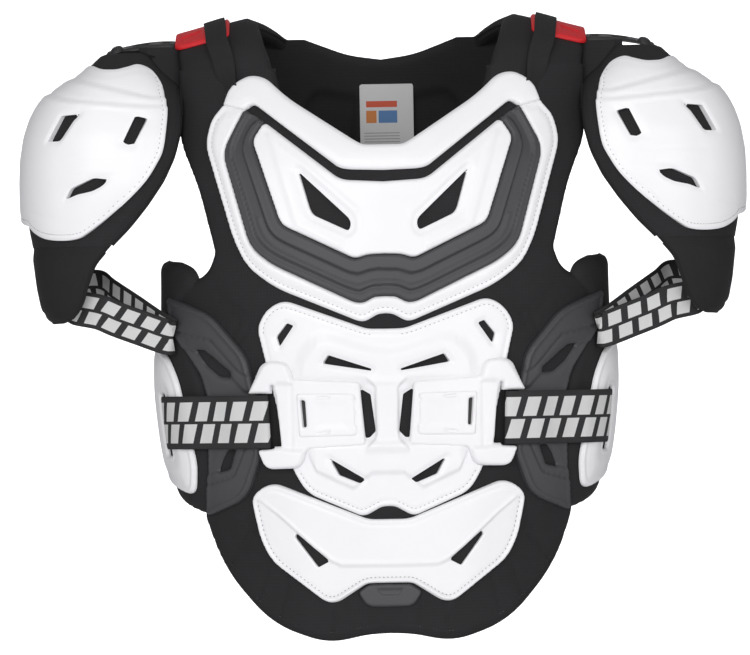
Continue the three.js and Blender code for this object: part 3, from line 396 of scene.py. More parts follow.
def sweep(name, route, normals, width, profile, slot, shading, extra=None):
    """A band along a route: each station carries the closed profile (across, lift) on its own normal."""
    route, normals = np.asarray(route, float), np.asarray(normals, float)
    along = np.gradient(route, axis=0)
    along /= np.linalg.norm(along, axis=1, keepdims=True)
    normals = normals - (normals * along).sum(1, keepdims=True) * along
    normals /= np.linalg.norm(normals, axis=1, keepdims=True)
    across = np.cross(along, normals)
    profile = np.asarray(profile, float)
    m, k = len(route), len(profile)
    points = (route[:, None] + across[:, None] * (profile[:, 0] * width)[None, :, None]
              + normals[:, None] * profile[:, 1][None, :, None]).reshape(-1, 3)
    i, j = np.meshgrid(np.arange(m - 1), np.arange(k), indexing="ij")
    nxt = (j + 1) % k
    faces = np.stack([i * k + j, i * k + nxt, (i + 1) * k + nxt, (i + 1) * k + j], -1).reshape(-1, 4)
    caps = []
    for base in (0, (m - 1) * k):
        for q in range(k // 2 - 1):
            cell = [base + q, base + q + 1, base + k - 2 - q, base + k - 1 - q]
            caps.append(cell)
    caps = np.array(caps)
    caps[len(caps) // 2:] = caps[len(caps) // 2:, ::-1]
    faces = np.concatenate([faces, caps])
    if oriented(points, faces) < 0:
        faces = faces[:, ::-1]
    run = np.concatenate([[0], np.cumsum(np.linalg.norm(np.diff(route, axis=0), axis=1))])
    flat = np.stack([np.repeat(run, k), np.tile(profile[:, 0] * width, m), np.tile(profile[:, 1], m)], 1)
    attributes = {"flat": flat}
    attributes.update(extra or {})
    return mesh(name, points, faces, slot, shading, attributes)


def spline(points, step):
    """A smooth run through stations: a cubic between each two, with slopes from their neighbours."""
    p = np.asarray(points, float)
    ends = np.vstack([2 * p[0] - p[1], p, 2 * p[-1] - p[-2]])
    out = []
    for i in range(len(p) - 1):
        a, b, c, d = ends[i:i + 4]
        t = np.linspace(0, 1, 12, endpoint=False)[:, None]
        out.append(.5 * (2 * b + (c - a) * t + (2 * a - 5 * b + 4 * c - d) * t ** 2
                         + (3 * b - a - 3 * c + d) * t ** 3))
    fine = np.concatenate(out + [p[-1:]])
    run = np.concatenate([[0], np.cumsum(np.linalg.norm(np.diff(fine, axis=0), axis=1))])
    at = np.linspace(0, run[-1], max(3, int(run[-1] / step)))
    return np.stack([np.interp(at, run, fine[:, k]) for k in range(fine.shape[1])], 1)


# Finishes
def nodes_of(name):
    """A new material with its node tree and its Principled BSDF."""
    material = bpy.data.materials.new(name)
    material.use_nodes = True
    tree = material.node_tree
    return material, tree, tree.nodes["Principled BSDF"]


def add(tree, kind, values=(), **settings):
    """A node with its settings, its sockets given as (socket, value or output)."""
    node = tree.nodes.new(kind)
    for key, value in settings.items():
        setattr(node, key, value)
    for socket, value in values:
        if isinstance(value, bpy.types.NodeSocket):
            tree.links.new(value, node.inputs[socket])
        else:
            node.inputs[socket].default_value = value
    return node


def maths(tree, operation, *values):
    """The output of a Math node."""
    return add(tree, "ShaderNodeMath", list(enumerate(values)), operation=operation).outputs[0]


def blend(tree, factor, first, second):
    """The colour first + factor (second - first)."""
    return add(tree, "ShaderNodeMix", [(0, factor), (6, first), (7, second)], data_type="RGBA").outputs[2]


def grey(value):
    """A colour with equal parts of red, green and blue."""
    return (value, value, value, 1)


def group(name, ins, outs):
    """A shader node group with its named sockets, and its input and output nodes."""
    tree = bpy.data.node_groups.new(name, "ShaderNodeTree")
    for socket, kind, default in ins:
        item = tree.interface.new_socket(name=socket, in_out="INPUT", socket_type=kind)
        if default is not None:
            item.default_value = default
    for socket, kind in outs:
        tree.interface.new_socket(name=socket, in_out="OUTPUT", socket_type=kind)
    return tree, tree.nodes.new("NodeGroupInput"), tree.nodes.new("NodeGroupOutput")


def grain_group():
    """Fine moulded grain: two noises, for a slight change of tone and roughness, and a small bump."""
    tree, inlet, outlet = group(
        "moulded_grain",
        [("Grain", "NodeSocketFloat", 900.0), ("Tone", "NodeSocketColor", (.8, .8, .8, 1)),
         ("Roughness", "NodeSocketFloat", .4), ("Depth", "NodeSocketFloat", .1)],
        [("Base Color", "NodeSocketColor"), ("Roughness", "NodeSocketFloat"), ("Normal", "NodeSocketVector")])
    place = tree.nodes.new("ShaderNodeTexCoord").outputs["Object"]
    fine = add(tree, "ShaderNodeTexNoise", [("Vector", place), ("Scale", inlet.outputs[0]), ("Detail", 3.0)])
    wide = add(tree, "ShaderNodeTexNoise", [("Vector", place), ("Scale", 14.0), ("Detail", 4.0)])
    shade = maths(tree, "MULTIPLY_ADD", wide.outputs[0], .10, .95)
    tone = add(tree, "ShaderNodeVectorMath", [(0, inlet.outputs[1])], operation="SCALE")
    tree.links.new(shade, tone.inputs["Scale"])
    rough = maths(tree, "ADD", inlet.outputs[2], maths(tree, "MULTIPLY_ADD", fine.outputs[0], .12, -.06))
    bump = add(tree, "ShaderNodeBump",
               [("Strength", inlet.outputs[3]), ("Distance", .0004), ("Height", fine.outputs[0])])
    tree.links.new(tone.outputs[0], outlet.inputs[0])
    tree.links.new(rough, outlet.inputs[1])
    tree.links.new(bump.outputs[0], outlet.inputs[2])
    return tree


GRAIN = grain_group()


def moulded(name, tone, roughness, depth=.12, grain=900.0, specular=.5, coat=0.0):
    """Moulded plastic or rubber with the fine grain."""
    material, tree, surface = nodes_of(name)
    node = add(tree, "ShaderNodeGroup", node_tree=GRAIN)
    node.inputs["Grain"].default_value = grain
    node.inputs["Tone"].default_value = tone
    node.inputs["Roughness"].default_value = roughness
    node.inputs["Depth"].default_value = depth
    for socket in ("Base Color", "Roughness", "Normal"):
        tree.links.new(node.outputs[socket], surface.inputs[socket])
    surface.inputs["Specular IOR Level"].default_value = specular
    surface.inputs["Coat Weight"].default_value = coat
    return material


def flat_place(tree, scale):
    """The piece's own flat place in millimetres, scaled."""
    flat = add(tree, "ShaderNodeAttribute", attribute_name="flat")
    return add(tree, "ShaderNodeVectorMath", [(0, flat.outputs["Vector"]), (1, scale)],
               operation="MULTIPLY").outputs[0]


def perforated(name, tone, pitch=3.0):
    """Foam under knit: rows of small round holes in the piece's flat place, sunk by a bump and darkened
    inside with painted shade, fine knit bump between them.
    """
    material, tree, surface = nodes_of(name)
    place = flat_place(tree, (1 / pitch, 1 / pitch, 0))
    holes = add(tree, "ShaderNodeTexVoronoi", [("Vector", place), ("Scale", 1.0), ("Randomness", 0.0)],
                voronoi_dimensions="2D")
    ring = add(tree, "ShaderNodeMapRange",
               [("Value", holes.outputs["Distance"]), (1, .10), (2, .20), (3, .45), (4, 0.0)])
    knit = add(tree, "ShaderNodeTexNoise",
               [("Vector", flat_place(tree, (1.6, 1.6, 0))), ("Scale", 1.0), ("Detail", 5.0)])
    wide = add(tree, "ShaderNodeTexNoise",
               [("Vector", flat_place(tree, (.02, .02, 0))), ("Scale", 1.0), ("Detail", 3.0)])
    shade = maths(tree, "MULTIPLY_ADD", wide.outputs[0], .5, .75)
    base = add(tree, "ShaderNodeVectorMath", [(0, tone[:3])], operation="SCALE")
    tree.links.new(shade, base.inputs["Scale"])
    # painted shade: each hole's colour darkens towards its middle, standing in for the shade inside the hole
    colour = blend(tree, ring.outputs[0], base.outputs[0], grey(.004))
    tree.links.new(colour, surface.inputs["Base Color"])
    height = maths(tree, "SUBTRACT", maths(tree, "MULTIPLY", knit.outputs[0], .35), ring.outputs[0])
    bump = add(tree, "ShaderNodeBump", [("Strength", .3), ("Distance", .0004), ("Height", height)])
    tree.links.new(bump.outputs[0], surface.inputs["Normal"])
    surface.inputs["Roughness"].default_value = .82
    surface.inputs["Specular IOR Level"].default_value = .3
    return material


def woven(name, tone, rib=1.1, printed=False):
    """Webbing: a twill bump across the band. When printed, a row of plain slanted bars in a paler tone."""
    material, tree, surface = nodes_of(name)
    flat = add(tree, "ShaderNodeAttribute", attribute_name="flat")
    parts = add(tree, "ShaderNodeSeparateXYZ", [(0, flat.outputs["Vector"])])
    run, across = parts.outputs[0], parts.outputs[1]
    weave = add(tree, "ShaderNodeTexWave",
                [("Vector", flat_place(tree, (.5 / rib, .5 / rib, 0))), ("Scale", 2.0),
                 ("Distortion", .4), ("Detail", 2.0)], wave_type="BANDS", bands_direction="DIAGONAL")
    shade = tuple(v * .45 for v in tone[:3]) + (1,)
    colour = blend(tree, maths(tree, "MULTIPLY", weave.outputs[1], .5), tone, shade)
    if printed:
        # two staggered rows of slanted blocks at a pitch of 19 mm, with a thin line between the rows
        lean = maths(tree, "MULTIPLY_ADD", across, -.30, run)
        upper = maths(tree, "GREATER_THAN", across, 0.0)
        phase = maths(tree, "FRACT", maths(tree, "MULTIPLY_ADD", upper, .5,
                                           maths(tree, "MULTIPLY", lean, 1 / 19.0)))
        tall = add(tree, "ShaderNodeAttribute", attribute_name="print")
        depth = maths(tree, "ABSOLUTE", across)
        rows = maths(tree, "MULTIPLY", maths(tree, "LESS_THAN", depth, tall.outputs["Fac"]),
                     maths(tree, "GREATER_THAN", depth, 1.3))
        mask = maths(tree, "MULTIPLY", maths(tree, "LESS_THAN", phase, .66), rows)
        pale = blend(tree, maths(tree, "MULTIPLY", weave.outputs[1], .25), grey(.66), grey(.5))
        colour = blend(tree, mask, colour, pale)
    tree.links.new(colour, surface.inputs["Base Color"])
    bump = add(tree, "ShaderNodeBump", [("Strength", .4), ("Distance", .0005), ("Height", weave.outputs[1])])
    tree.links.new(bump.outputs[0], surface.inputs["Normal"])
    surface.inputs["Roughness"].default_value = .75
    surface.inputs["Specular IOR Level"].default_value = .3
    return material


WHITE = moulded("white_shell", (.82, .815, .83, 1), .40, depth=.06, coat=.05)
GREY = moulded("charcoal_moulding", (.042, .041, .045, 1), .5, depth=.35, grain=1300.0)
RED = moulded("red_bracket", (.60, .008, .014, 1), .55, depth=.05)
RUBBER = moulded("black_rubber", (.016, .016, .017, 1), .5, depth=.4, grain=1500.0)
FOAM = perforated("perforated_foam", (.0155, .0145, .016, 1))
LINING = perforated("knit_lining", (.013, .0125, .0135, 1), pitch=2.4)
BINDING = woven("edge_binding", (.014, .0135, .0145, 1), rib=.8)
WEBBING = woven("black_webbing", (.017, .017, .018, 1))
PRINTED = woven("printed_strap", (.030, .030, .032, 1), printed=True)
# partly the thread's own grey and partly painted shade: it is set darker so the stitches on the white
# mouldings read as shaded dots
THREAD_WITH_PAINTED_SHADE = moulded("grey_thread_with_painted_shade", (.33, .33, .34, 1), .7, depth=.4)
DARK_THREAD = moulded("dark_thread", (.05, .05, .053, 1), .7, depth=.4)


def on_torso(x, z, lift=0.0, back=False):
    """Flat place of a torso piece: its arc and level."""
    x, z = np.asarray(x, float), np.asarray(z, float)
    return np.stack([arc_of(x, z, lift, back), z], -1)


def arced(points, lift=0.0, back=False, step=2.5):
    """An outline in x and z as arcs and levels."""
    p = dense(points, step)
    return on_torso(p[:, 0], p[:, 1], lift, back)


def line_on(points, lift=0.0):
    """An open line in x and z as arcs and levels."""
    p = dense(points, 2.5, closed=False)
    return on_torso(p[:, 0], p[:, 1], lift)


# A stitch: a short bead of five sides, two rings of corners and a point at each end
STITCH = np.array([[a, .5 * math.cos(t), .5 * math.sin(t)] for a in (-.5, .5)
                   for t in np.arange(5) * math.tau / 5] + [[-.62, 0, 0], [.62, 0, 0]])
STITCH_FACES = np.array([[k, (k + 1) % 5, 5 + (k + 1) % 5, 5 + k] for k in range(5)]
                        + [[10, (k + 1) % 5, k, k] for k in range(5)]
                        + [[11, 5 + k, 5 + (k + 1) % 5, 5 + (k + 1) % 5] for k in range(5)])


def stitches(name, lines, where, lift, slot, shading, pitch=4.2, length=1.25, thick=.65):
    """Beads laid end to end along flat lines, each turned to its line's way on the form."""
    places, ways = [], []
    for line in lines:
        flat = dense(line, pitch, closed=False)
        if len(flat) < 3:
            continue
        middle = (flat[1:] + flat[:-1]) / 2
        level = lift(middle) if callable(lift) else np.full(len(middle), float(lift))
        ends = [where(p[:, 0], p[:, 1], level) for p in (flat[:-1], flat[1:])]
        places.append((ends[0] + ends[1]) / 2)
        ways.append(ends[1] - ends[0])
    centre, along = np.concatenate(places), np.concatenate(ways)
    along /= np.linalg.norm(along, axis=1, keepdims=True)
    side = np.cross(along, [.31, -.83, .46])
    side /= np.linalg.norm(side, axis=1, keepdims=True)
    up = np.cross(along, side)
    local = STITCH * [length, thick, thick]
    points = (centre[:, None] + along[:, None] * local[None, :, :1] + side[:, None] * local[None, :, 1:2]
              + up[:, None] * local[None, :, 2:]).reshape(-1, 3)
    n = len(STITCH)
    faces = (STITCH_FACES[None] + np.arange(len(centre))[:, None, None] * n).reshape(-1, 4)
    tri = np.concatenate([faces[:, :3], faces[faces[:, 2] != faces[:, 3]][:, [0, 2, 3]]])
    if oriented(points, tri) < 0:
        tri = tri[:, ::-1]
    return mesh(name, points, tri, slot, shading)


def inset(outline, distance):
    """A closed outline drawn in by a distance along its own normals."""
    p = np.asarray(outline)
    way = np.roll(p, -1, 0) - np.roll(p, 1, 0)
    way = way / np.maximum(np.hypot(*way.T)[:, None], 1e-9)
    area = (p[:, 0] * np.roll(p[:, 1], -1) - np.roll(p[:, 0], -1) * p[:, 1]).sum()
    turn = 1 if area > 0 else -1
    return p + np.stack([-way[:, 1], way[:, 0]], 1) * distance * turn


# Chest
RIM_OUT = [(140, -51, 0), (151, -64, 6), (157, -86, 14), (133, -171, 14), (122, -194, 12), (98, -212.5, 14),
           (24, -243, 4), (18, -243.3, 3), (6.5, -237, 3), (0, -236.5, 0)]
RIM_IN = [(0, -221.5, 0), (9.5, -222, 2), (20, -227.5, 5), (28, -226.2, 4), (100, -192, 14),
          (117.5, -177, 12), (140.5, -93, 12), (121, -56, 0)]
CHANNEL_IN = [(0, -184.8, 0), (15, -185.4, 3), (26, -189.2, 4), (90, -158.2, 8), (115, -84, 7),
              (103.5, -67.5, 0)]
INSERT = [(0, -121.5, 0), (38, -119.3, 8), (104.3, -67.8, 3), (114.6, -83.5, 6), (90.5, -158, 7),
          (26, -188.8, 5), (15, -185.2, 4), (0, -184.6, 0)]
EYE = [(74.7, -111, 1), (30.3, -153.2, 3), (28.6, -158, 3), (30.8, -164.5, 2), (62, -150, 3), (65, -145, 3)]
COLLAR = [(0, -89, 0), (18, -89, 9), (26, -84.5, 4), (85, -46.5, 14), (104, -28.5, 12), (117, -25.5, 14),
          (134, -34, 14), (140.5, -52, 0), (122, -57.5, 4), (114, -51, 5), (100, -62, 8), (39, -109, 8),
          (30, -110.6, 6), (0, -111.5, 0)]

rim_right = rounded(RIM_OUT, True)
rim_in = rounded(RIM_IN, True)
rim_shape = np.concatenate([rim_right, flip(rim_right)[::-1][1:], flip(rim_in)[::-1], rim_in[1:]])
rim_closed = np.concatenate([rim_right, flip(rim_right)[::-1][1:]])
rim_flat = arced(rim_shape, 5)


def rim_top(flat, gap):
    """Rises 3 mm in a quarter round at the edge, dips .75 mm in the sewing line, then swells by 1.1 mm."""
    edge = nearest(flat, arced(rim_closed, 5))[0]
    sewn = np.exp(-((edge - 5.2) / 1.5) ** 2)
    return GAP + 1.2 + 3.0 * dome(gap, 2.6) + 1.1 * smooth(5.5, 12, edge) - .75 * sewn


shell("rim_moulding", rim_flat, [], torso, rim_top, GAP, "shell", WHITE, step=1.5)
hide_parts("chest_rim")
line = inset(rim_closed, 5.2)
stitches("rim_sewing", [line_on(line[(line[:, 1] < -62) & (line[:, 0] >= 0)], 5),
                        line_on(line[(line[:, 1] < -62) & (line[:, 0] <= 0)], 5)],
         torso, GAP + 3.6, "shell", THREAD_WITH_PAINTED_SHADE)

channel_in = rounded(CHANNEL_IN, True)
channel_shape = np.concatenate([rim_in[::-1], flip(rim_in[::-1])[::-1][1:], flip(channel_in)[::-1],
                                channel_in[1:]])
channel_flat = inset(arced(channel_shape, 4), .35)


def channel_top(flat, gap):
    """An outer lip, a sunk run 3 mm deep between two low ridges, one rib along it, and an inner lip."""
    outer = nearest(flat, line_on(both(rim_in), 4), closed=False)[0]
    inner = nearest(flat, line_on(both(channel_in), 4), closed=False)[0]
    share = outer / np.maximum(outer + inner, 1e-6)
    lip = smooth(.24, .285, share) * (1 - smooth(.615, .68, share))
    height = 4.6 - 3.1 * lip + .9 * np.exp(-((share - .25) / .035) ** 2)
    height += .5 * np.exp(-((share - .68) / .04) ** 2)
    # the middle rib, below the side bends
    height += .5 * np.exp(-((share - .45) / .06) ** 2) * (flat[:, 1] < -150)
    return GAP + .8 + height * (.35 + .65 * dome(gap, 1.6))


shell("channel_moulding", channel_flat, [], torso, channel_top, GAP, "moulded_grey", GREY, step=1.3)
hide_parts("chest_channel")

insert_flat = arced(both(rounded(INSERT, True)), 4)
eyes = [arced(h, 4) for h in pair([rounded(EYE)])]


def insert_top(flat, gap):
    """Round edge, sunk round the vents by 1.5 mm, with two low ridges down each side."""
    outer = nearest(flat, insert_flat)[0]
    eye = np.minimum(*[np.maximum(-signed(flat, e), 0) for e in eyes])
    lift = 3.2 * dome(outer, 2.4) + .5 * dome(gap, .8)
    lift -= 1.5 * (1 - smooth(2.0, 7.5, eye)) * smooth(1, 4, outer)
    for sign in (1, -1):
        cheek = on_torso(np.array([sign * 96, sign * 74, sign * 40]), np.array([-80, -158, -176]), 4)
        brow = on_torso(np.array([sign * 100, sign * 62, sign * 24]), np.array([-80, -112, -146]), 4)
        lift += .9 * groove(flat, cheek, 13) * smooth(1, 5, outer)
        lift += .6 * groove(flat, brow, 9) * smooth(1, 5, outer)
    return GAP + .9 + lift


shell("insert_moulding", insert_flat, eyes, torso, insert_top, GAP, "shell", WHITE, step=1.3)
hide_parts("chest_insert")

collar_flat = arced(both(rounded(COLLAR, True)), 6)


def collar_top(flat, gap):
    """A band rounded over 4.5 mm at its edges, fuller inside them and a little at its end lobes."""
    lobe = smooth(110, 150, np.abs(flat[:, 0]))
    return GAP + 2.2 + 3.9 * dome(gap, 4.5) + .6 * smooth(4, 9, gap) + .4 * lobe


shell("collar_moulding", collar_flat, [], torso, collar_top, GAP, "shell", WHITE, step=1.5)
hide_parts("chest_collar")


# Abdomen
ABDOMEN = [(0, -250, 0), (17, -249.7, 5), (90, -223.5, 10), (104.5, -231, 8), (113.5, -247, 8),
           (85, -370, 10), (72, -392.5, 10), (22, -413.8, 6), (6, -405, 3), (0, -404.7, 0)]
ABDOMEN_HOLES = [[(81, -246, .6), (87, -243.5, .8), (96.5, -255.5, .8), (93.8, -264.5, .6)],
                 [(12, -285.0, .5), (50.5, -272.0, .8), (55.5, -279.5, .8), (12.5, -286.6, .5)],
                 [(14.3, -307, .8), (23.5, -301.5, .8), (19.5, -345, .8), (15.5, -344.6, .8),
                  (10.2, -339, .8)],
                 [(51, -362, .6), (42.8, -377, .8), (24.5, -384.6, .8), (19.8, -381, .8)]]
abdomen_flat = arced(both(rounded(ABDOMEN, True)), 4)
abdomen_holes = [arced(h, 4, step=1.0) for h in pair([rounded(h) for h in ABDOMEN_HOLES])]


def abdomen_top(flat, gap):
    """Round edge; a chevron band facing up above the slots; a panel standing 3.3 mm proud between the vents.

    The panel's top edge follows the chevron, its low edge runs out below the clips, and a keel joins the two
    past the tall vents; round the low vents a field is sunk, with its own sloped border.
    """
    outer = nearest(flat, abdomen_flat)[0]
    hole = np.min([np.maximum(-signed(flat, h), 0) for h in abdomen_holes], 0)
    x, z = np.abs(torso(flat[:, 0], flat[:, 1], 4)[:, 0]), flat[:, 1]
    lift = 2.6 * dome(outer, 2.6) + .4 * dome(gap, .8)
    # chevron: from the rim's level at brow to the panel's at keel, a slope 13 to 27 mm wide
    brow = np.interp(x, [0, 12, 55, 66, 76, 84], [-263, -262, -247.5, -251, -262, -280])
    keel = np.interp(x, [0, 12, 50, 60, 70, 80], [-276, -275, -264, -268, -282, -300])
    slope = smooth(0, 1, (brow - z) / np.maximum(brow - keel, 1))
    panel = slope * (1 - smooth(70, 84, x)) * smooth(-300, -290, z)
    lift += 3.3 * panel
    waist = 11 + 9 * smooth(0, 14, np.abs(z + 323) - 20)
    lift += 3.3 * (1 - smooth(waist - 2.5, waist, x)) * (1 - smooth(-298, -290, z)) * smooth(-360, -350, z)
    low = np.interp(x, [0, 14, 30, 62, 72], [-378, -378, -391, -376, -355])
    field = smooth(0, 5, z - low) * (1 - smooth(-354, -346, z)) * (1 - smooth(62, 72, x))
    lift += 3.0 * field
    lift -= 1.3 * (1 - smooth(.3, 4.5, hole)) * smooth(1, 3, outer)
    sewn = np.exp(-((outer - 5.0) / 1.3) ** 2) * (smooth(-300, -290, z) + smooth(0, 4, -372 - z))
    return GAP + .8 + lift - .5 * sewn


shell("abdomen_moulding", abdomen_flat, abdomen_holes, torso, abdomen_top, GAP, "shell", WHITE, step=1.15)
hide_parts("abdomen_plate")
line = inset(both(rounded(ABDOMEN, True)), 5.0)
stitches("abdomen_sewing", [line_on(line[level & (line[:, 0] * sign > 6)], 4)
                            for level in (line[:, 1] > -290, line[:, 1] < -372) for sign in (1, -1)],
         torso, GAP + 3.35, "shell", THREAD_WITH_PAINTED_SHADE)

# Belly
BELLY = [(0, -416, 0), (18, -416, 6), (103, -382, 10), (120.8, -394, 9), (113, -432, 12), (103, -452, 10),
         (52, -491.5, 12), (20, -471.7, 4), (0, -471.6, 0)]
BELLY_HOLE = [(81.5, -427, .8), (83.2, -430.5, .6), (63, -457.5, .8), (52.5, -452, .8)]
STEP_LINE = [(112, -399), (96, -412), (82, -425), (66, -440), (50, -453), (42, -456.5), (0, -457)]
belly_flat = arced(both(rounded(BELLY, True)), 4)
belly_holes = [arced(h, 4, step=1.5) for h in pair([rounded(BELLY_HOLE)])]


def belly_top(flat, gap):
    """Round edge, a field lower by 2 mm beyond the step line, less at its outer ends, with a low lip."""
    outer = nearest(flat, belly_flat)[0]
    x, z = np.abs(torso(flat[:, 0], flat[:, 1], 4)[:, 0]), flat[:, 1]
    step_z = np.interp(x, [p[0] for p in STEP_LINE][::-1], [p[1] for p in STEP_LINE][::-1])
    lift = 3.0 * dome(outer, 2.6) + .5 * dome(gap, .8)
    lift -= 2.0 * (1 - smooth(-1.2, 1.2, z - step_z)) * smooth(2, 6, outer) * (1 - .45 * smooth(88, 112, x))
    lift += .5 * np.exp(-((z - step_z - 2.4) / 1.8) ** 2) * smooth(2, 5, outer)
    return GAP + 1.4 + lift - .5 * np.exp(-((outer - 5.0) / 1.3) ** 2)


shell("belly_moulding", belly_flat, belly_holes, torso, belly_top, GAP, "shell", WHITE, step=1.25)
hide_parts("belly_plate")
line = inset(both(rounded(BELLY, True)), 5.0)
loop = np.vstack([line, line[:1]])
stitches("belly_sewing", [line_on(loop, 4)], torso, GAP + 3.95, "shell", THREAD_WITH_PAINTED_SHADE)

TAB = [(0, -472.5, 0), (18, -472.6, 2), (28.4, -479.6, 3), (20.5, -492.4, 6), (0, -492.8, 0)]
tab_flat = arced(both(rounded(TAB, True)), 3)
TAB_MARK = on_torso(*np.array([(-11, -477.2), (11, -477.2), (7.5, -482), (-7.5, -482)]).T, 3)


def tab_top(flat, gap):
    """Round edge and a sunk blank panel."""
    return GAP + 1 + 2.4 * dome(gap, 2.0) - 1.0 * smooth(-.8, .4, signed(flat, TAB_MARK))


shell("belly_tab_moulding", tab_flat, [], torso, tab_top, GAP, "moulded_grey", GREY, step=1.0)
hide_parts("belly_tab")

# Clips and latch tabs
CLIP = [(82.6, -292.5, 2), (87, -278.5, 6), (104, -276.5, 8), (111, -280, 5), (121.6, -305, 0),
        (101.8, -305, 0), (101.8, -297.5, 0), (98.6, -297.5, 0), (93.4, -351.2, 0), (99.6, -351.2, 0),
        (99.8, -353.4, 1), (113.4, -354, 3), (106.5, -371, 7), (76.5, -370.5, 8), (71.5, -354.2, 3),
        (19.5, -351.3, 3), (24, -296, 3)]
CLIP_JAWS = [[(80, -298, 2), (86, -277, 6), (106, -276, 8), (123, -306, 1), (97, -306, 1), (96, -298, 2)],
             [(94, -352, 1), (116, -352, 2), (108, -373, 6), (74, -371, 6), (70, -354, 2), (86, -353, 2)]]
SLIT = [(75.8, -310.5, 1), (71.3, -311.6, 1), (70.2, -334.6, 1), (73.8, -335.2, 1)]
LATCH = [(27.5, -306, 4), (79, -305.2, 2), (76.8, -343.6, 2), (25.8, -342.8, 4)]
LATCH_MARKS = [[(50, -309.6), (61, -307.4)], [(50, -338.6), (60, -340.6)]]
LATCH_SLITS = [[(60.6, -309.2), (51.7, -309.9)], [(60, -340.6), (51, -339.8)],
               [(28.6, -311), (27, -322), (27.8, -334)]]
CLIP_BASE = 4.1 + GAP


def clip_top(flat, gap):
    """The tongue is flat, the jaws swell by 2.6 mm over 5 mm, and a sunk line sets the tongue off."""
    x = np.abs(torso(flat[:, 0], flat[:, 1], 8)[:, 0])
    jaw = signed(flat, clip_jaws[0])
    low = signed(flat, clip_jaws[1])
    swell = np.maximum(smooth(-1, 4, jaw), smooth(-1, 4, low))
    lift = CLIP_BASE + 1.4 + 2.2 * dome(gap, 1.8) + 2.6 * swell
    lift -= .7 * np.exp(-((x - 84) / 1.6) ** 2) * (1 - swell)
    return lift


for side, sign in (("right", 1), ("left", -1)):
    turned = np.array([sign, 1])
    clip_jaws = [arced(rounded(jaw) * turned, 8) for jaw in CLIP_JAWS]
    clip_flat = arced(rounded(CLIP) * turned, 8, step=1.6)
    slit_flat = arced(rounded(SLIT) * turned, 8, step=1.2)

    shell("clip_moulding_" + side, clip_flat, [slit_flat], torso, clip_top, CLIP_BASE, "shell", WHITE,
          step=1.2)
    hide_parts("strap_clip_" + side)
    latch_flat = arced(rounded(LATCH) * turned, 8)
    marks = [line_on(np.array(m) * turned, 8) for m in LATCH_MARKS]
    slits = [line_on(dense(np.array(m) * turned, 1.0, False), 8) for m in LATCH_SLITS]

    def latch_top(flat, gap):
        """A raised tab with a dished middle, two finger marks and three narrow slits."""
        lift = 1.6 * dome(gap, 1.6) - .9 * np.max([groove(flat, m, 3.2) for m in marks], 0)
        lift -= 2.8 * np.max([groove(flat, m, 1.8) for m in slits], 0)
        return CLIP_BASE + 3.6 + lift - .5 * smooth(5, 12, gap)

    shell("latch_moulding_" + side, latch_flat, [slit_flat], torso, latch_top, CLIP_BASE + 2.5, "shell",
          WHITE, step=1.1)
    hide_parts("latch_tab_" + side)
    # a black rubber sheet under the tab's slit: painted shade standing in for the dark depth of the slot
    floor = arced(rounded([(77, -309, 0), (70, -310, 0), (69, -336, 0), (75, -337, 0)]) * turned, 8)
    shell("slit_shade_sheet_" + side, floor, [], torso, lambda f, g: CLIP_BASE + .4 + 0 * g, CLIP_BASE - .1,
          "moulded_grey", RUBBER, step=2)


# Foam pads with bound edges
def binding(name, outline, where, lift, slot="padding", size=(4.6, 3.4), closed=True):
    """A folded tape along a pad's edge: an oval profile, 4.6 by 3.4 mm unless given."""
    flat = dense(outline, 3.0, closed)
    if closed:
        flat = np.vstack([flat, flat[:1]])
    level = lift(flat) if callable(lift) else np.full(len(flat), float(lift))
    route = where(flat[:, 0], flat[:, 1], level)
    outward = where(flat[:, 0], flat[:, 1], level + 2) - route
    angle = np.arange(8) * math.tau / 8
    profile = np.stack([size[0] / 2 * np.cos(angle), size[1] / 2 * np.sin(angle)], 1)
    return sweep(name, route, outward, 1.0, profile, slot, BINDING)


FRONT = [(0, -94.5, 0), (24, -94, 6), (91, -47, 6), (98, -20, 0), (179.5, -20, 0), (181, -80, 18),
         (164, -124, 14), (150, -181, 4), (156, -197, 6), (167, -206, 8), (188, -203, 6), (191, -240, 10),
         (163.5, -297, 14), (160.5, -392, 8), (163.5, -410, 8), (147, -458, 34), (106, -506, 30),
         (56, -523, 24), (20, -515.5, 14), (0, -514.7, 0)]
front_flat = arced(both(rounded(FRONT, True)))
HEM_MARKS = [[(25.5, -493), (26.5, -509)], [(49, -490), (52, -515)], [(88, -464), (97, -501)],
             [(107, -459), (116, -487)], [(120, -416), (129, -437), (141, -457)], [(118, -424), (127, -444)]]
TOP_MARKS = [[(150, -213), (134, -226), (118, -240), (122, -250), (130, -263)],
             [(146, -222), (127, -240), (137, -262)]]
marks_flat = [line_on(np.array(m) * [sign, 1]) for m in HEM_MARKS + TOP_MARKS for sign in (1, -1)]


def free_runs(outline, seam):
    """The rows of a closed outline in unbroken runs, without its level run at the seam."""
    kept = np.abs(outline[:, 1] - seam) > 1.0
    n = len(outline)
    first = int(np.flatnonzero(kept & ~np.roll(kept, 1))[0])
    order = (np.arange(n) + first) % n
    run = order[kept[order]]
    place = np.flatnonzero(kept[order])
    return np.split(run, np.flatnonzero(np.diff(place) > 1) + 1)


def free_edge(flat, outline, seam):
    """Distance to an outline without its level run at the seam."""
    return np.min([nearest(flat, outline[run], closed=False)[0] for run in free_runs(outline, seam)], 0)


def front_top(flat, gap):
    """Foam 12 mm thick, thinned to a sewn edge over 7 mm, with pressed lines 1.5 mm deep near its edges."""
    press = np.max([groove(flat, m, 4.5) for m in marks_flat], 0)
    return -3.6 + 3.6 * dome(free_edge(flat, front_flat, FRONT_SEAM), 7) - 1.5 * press


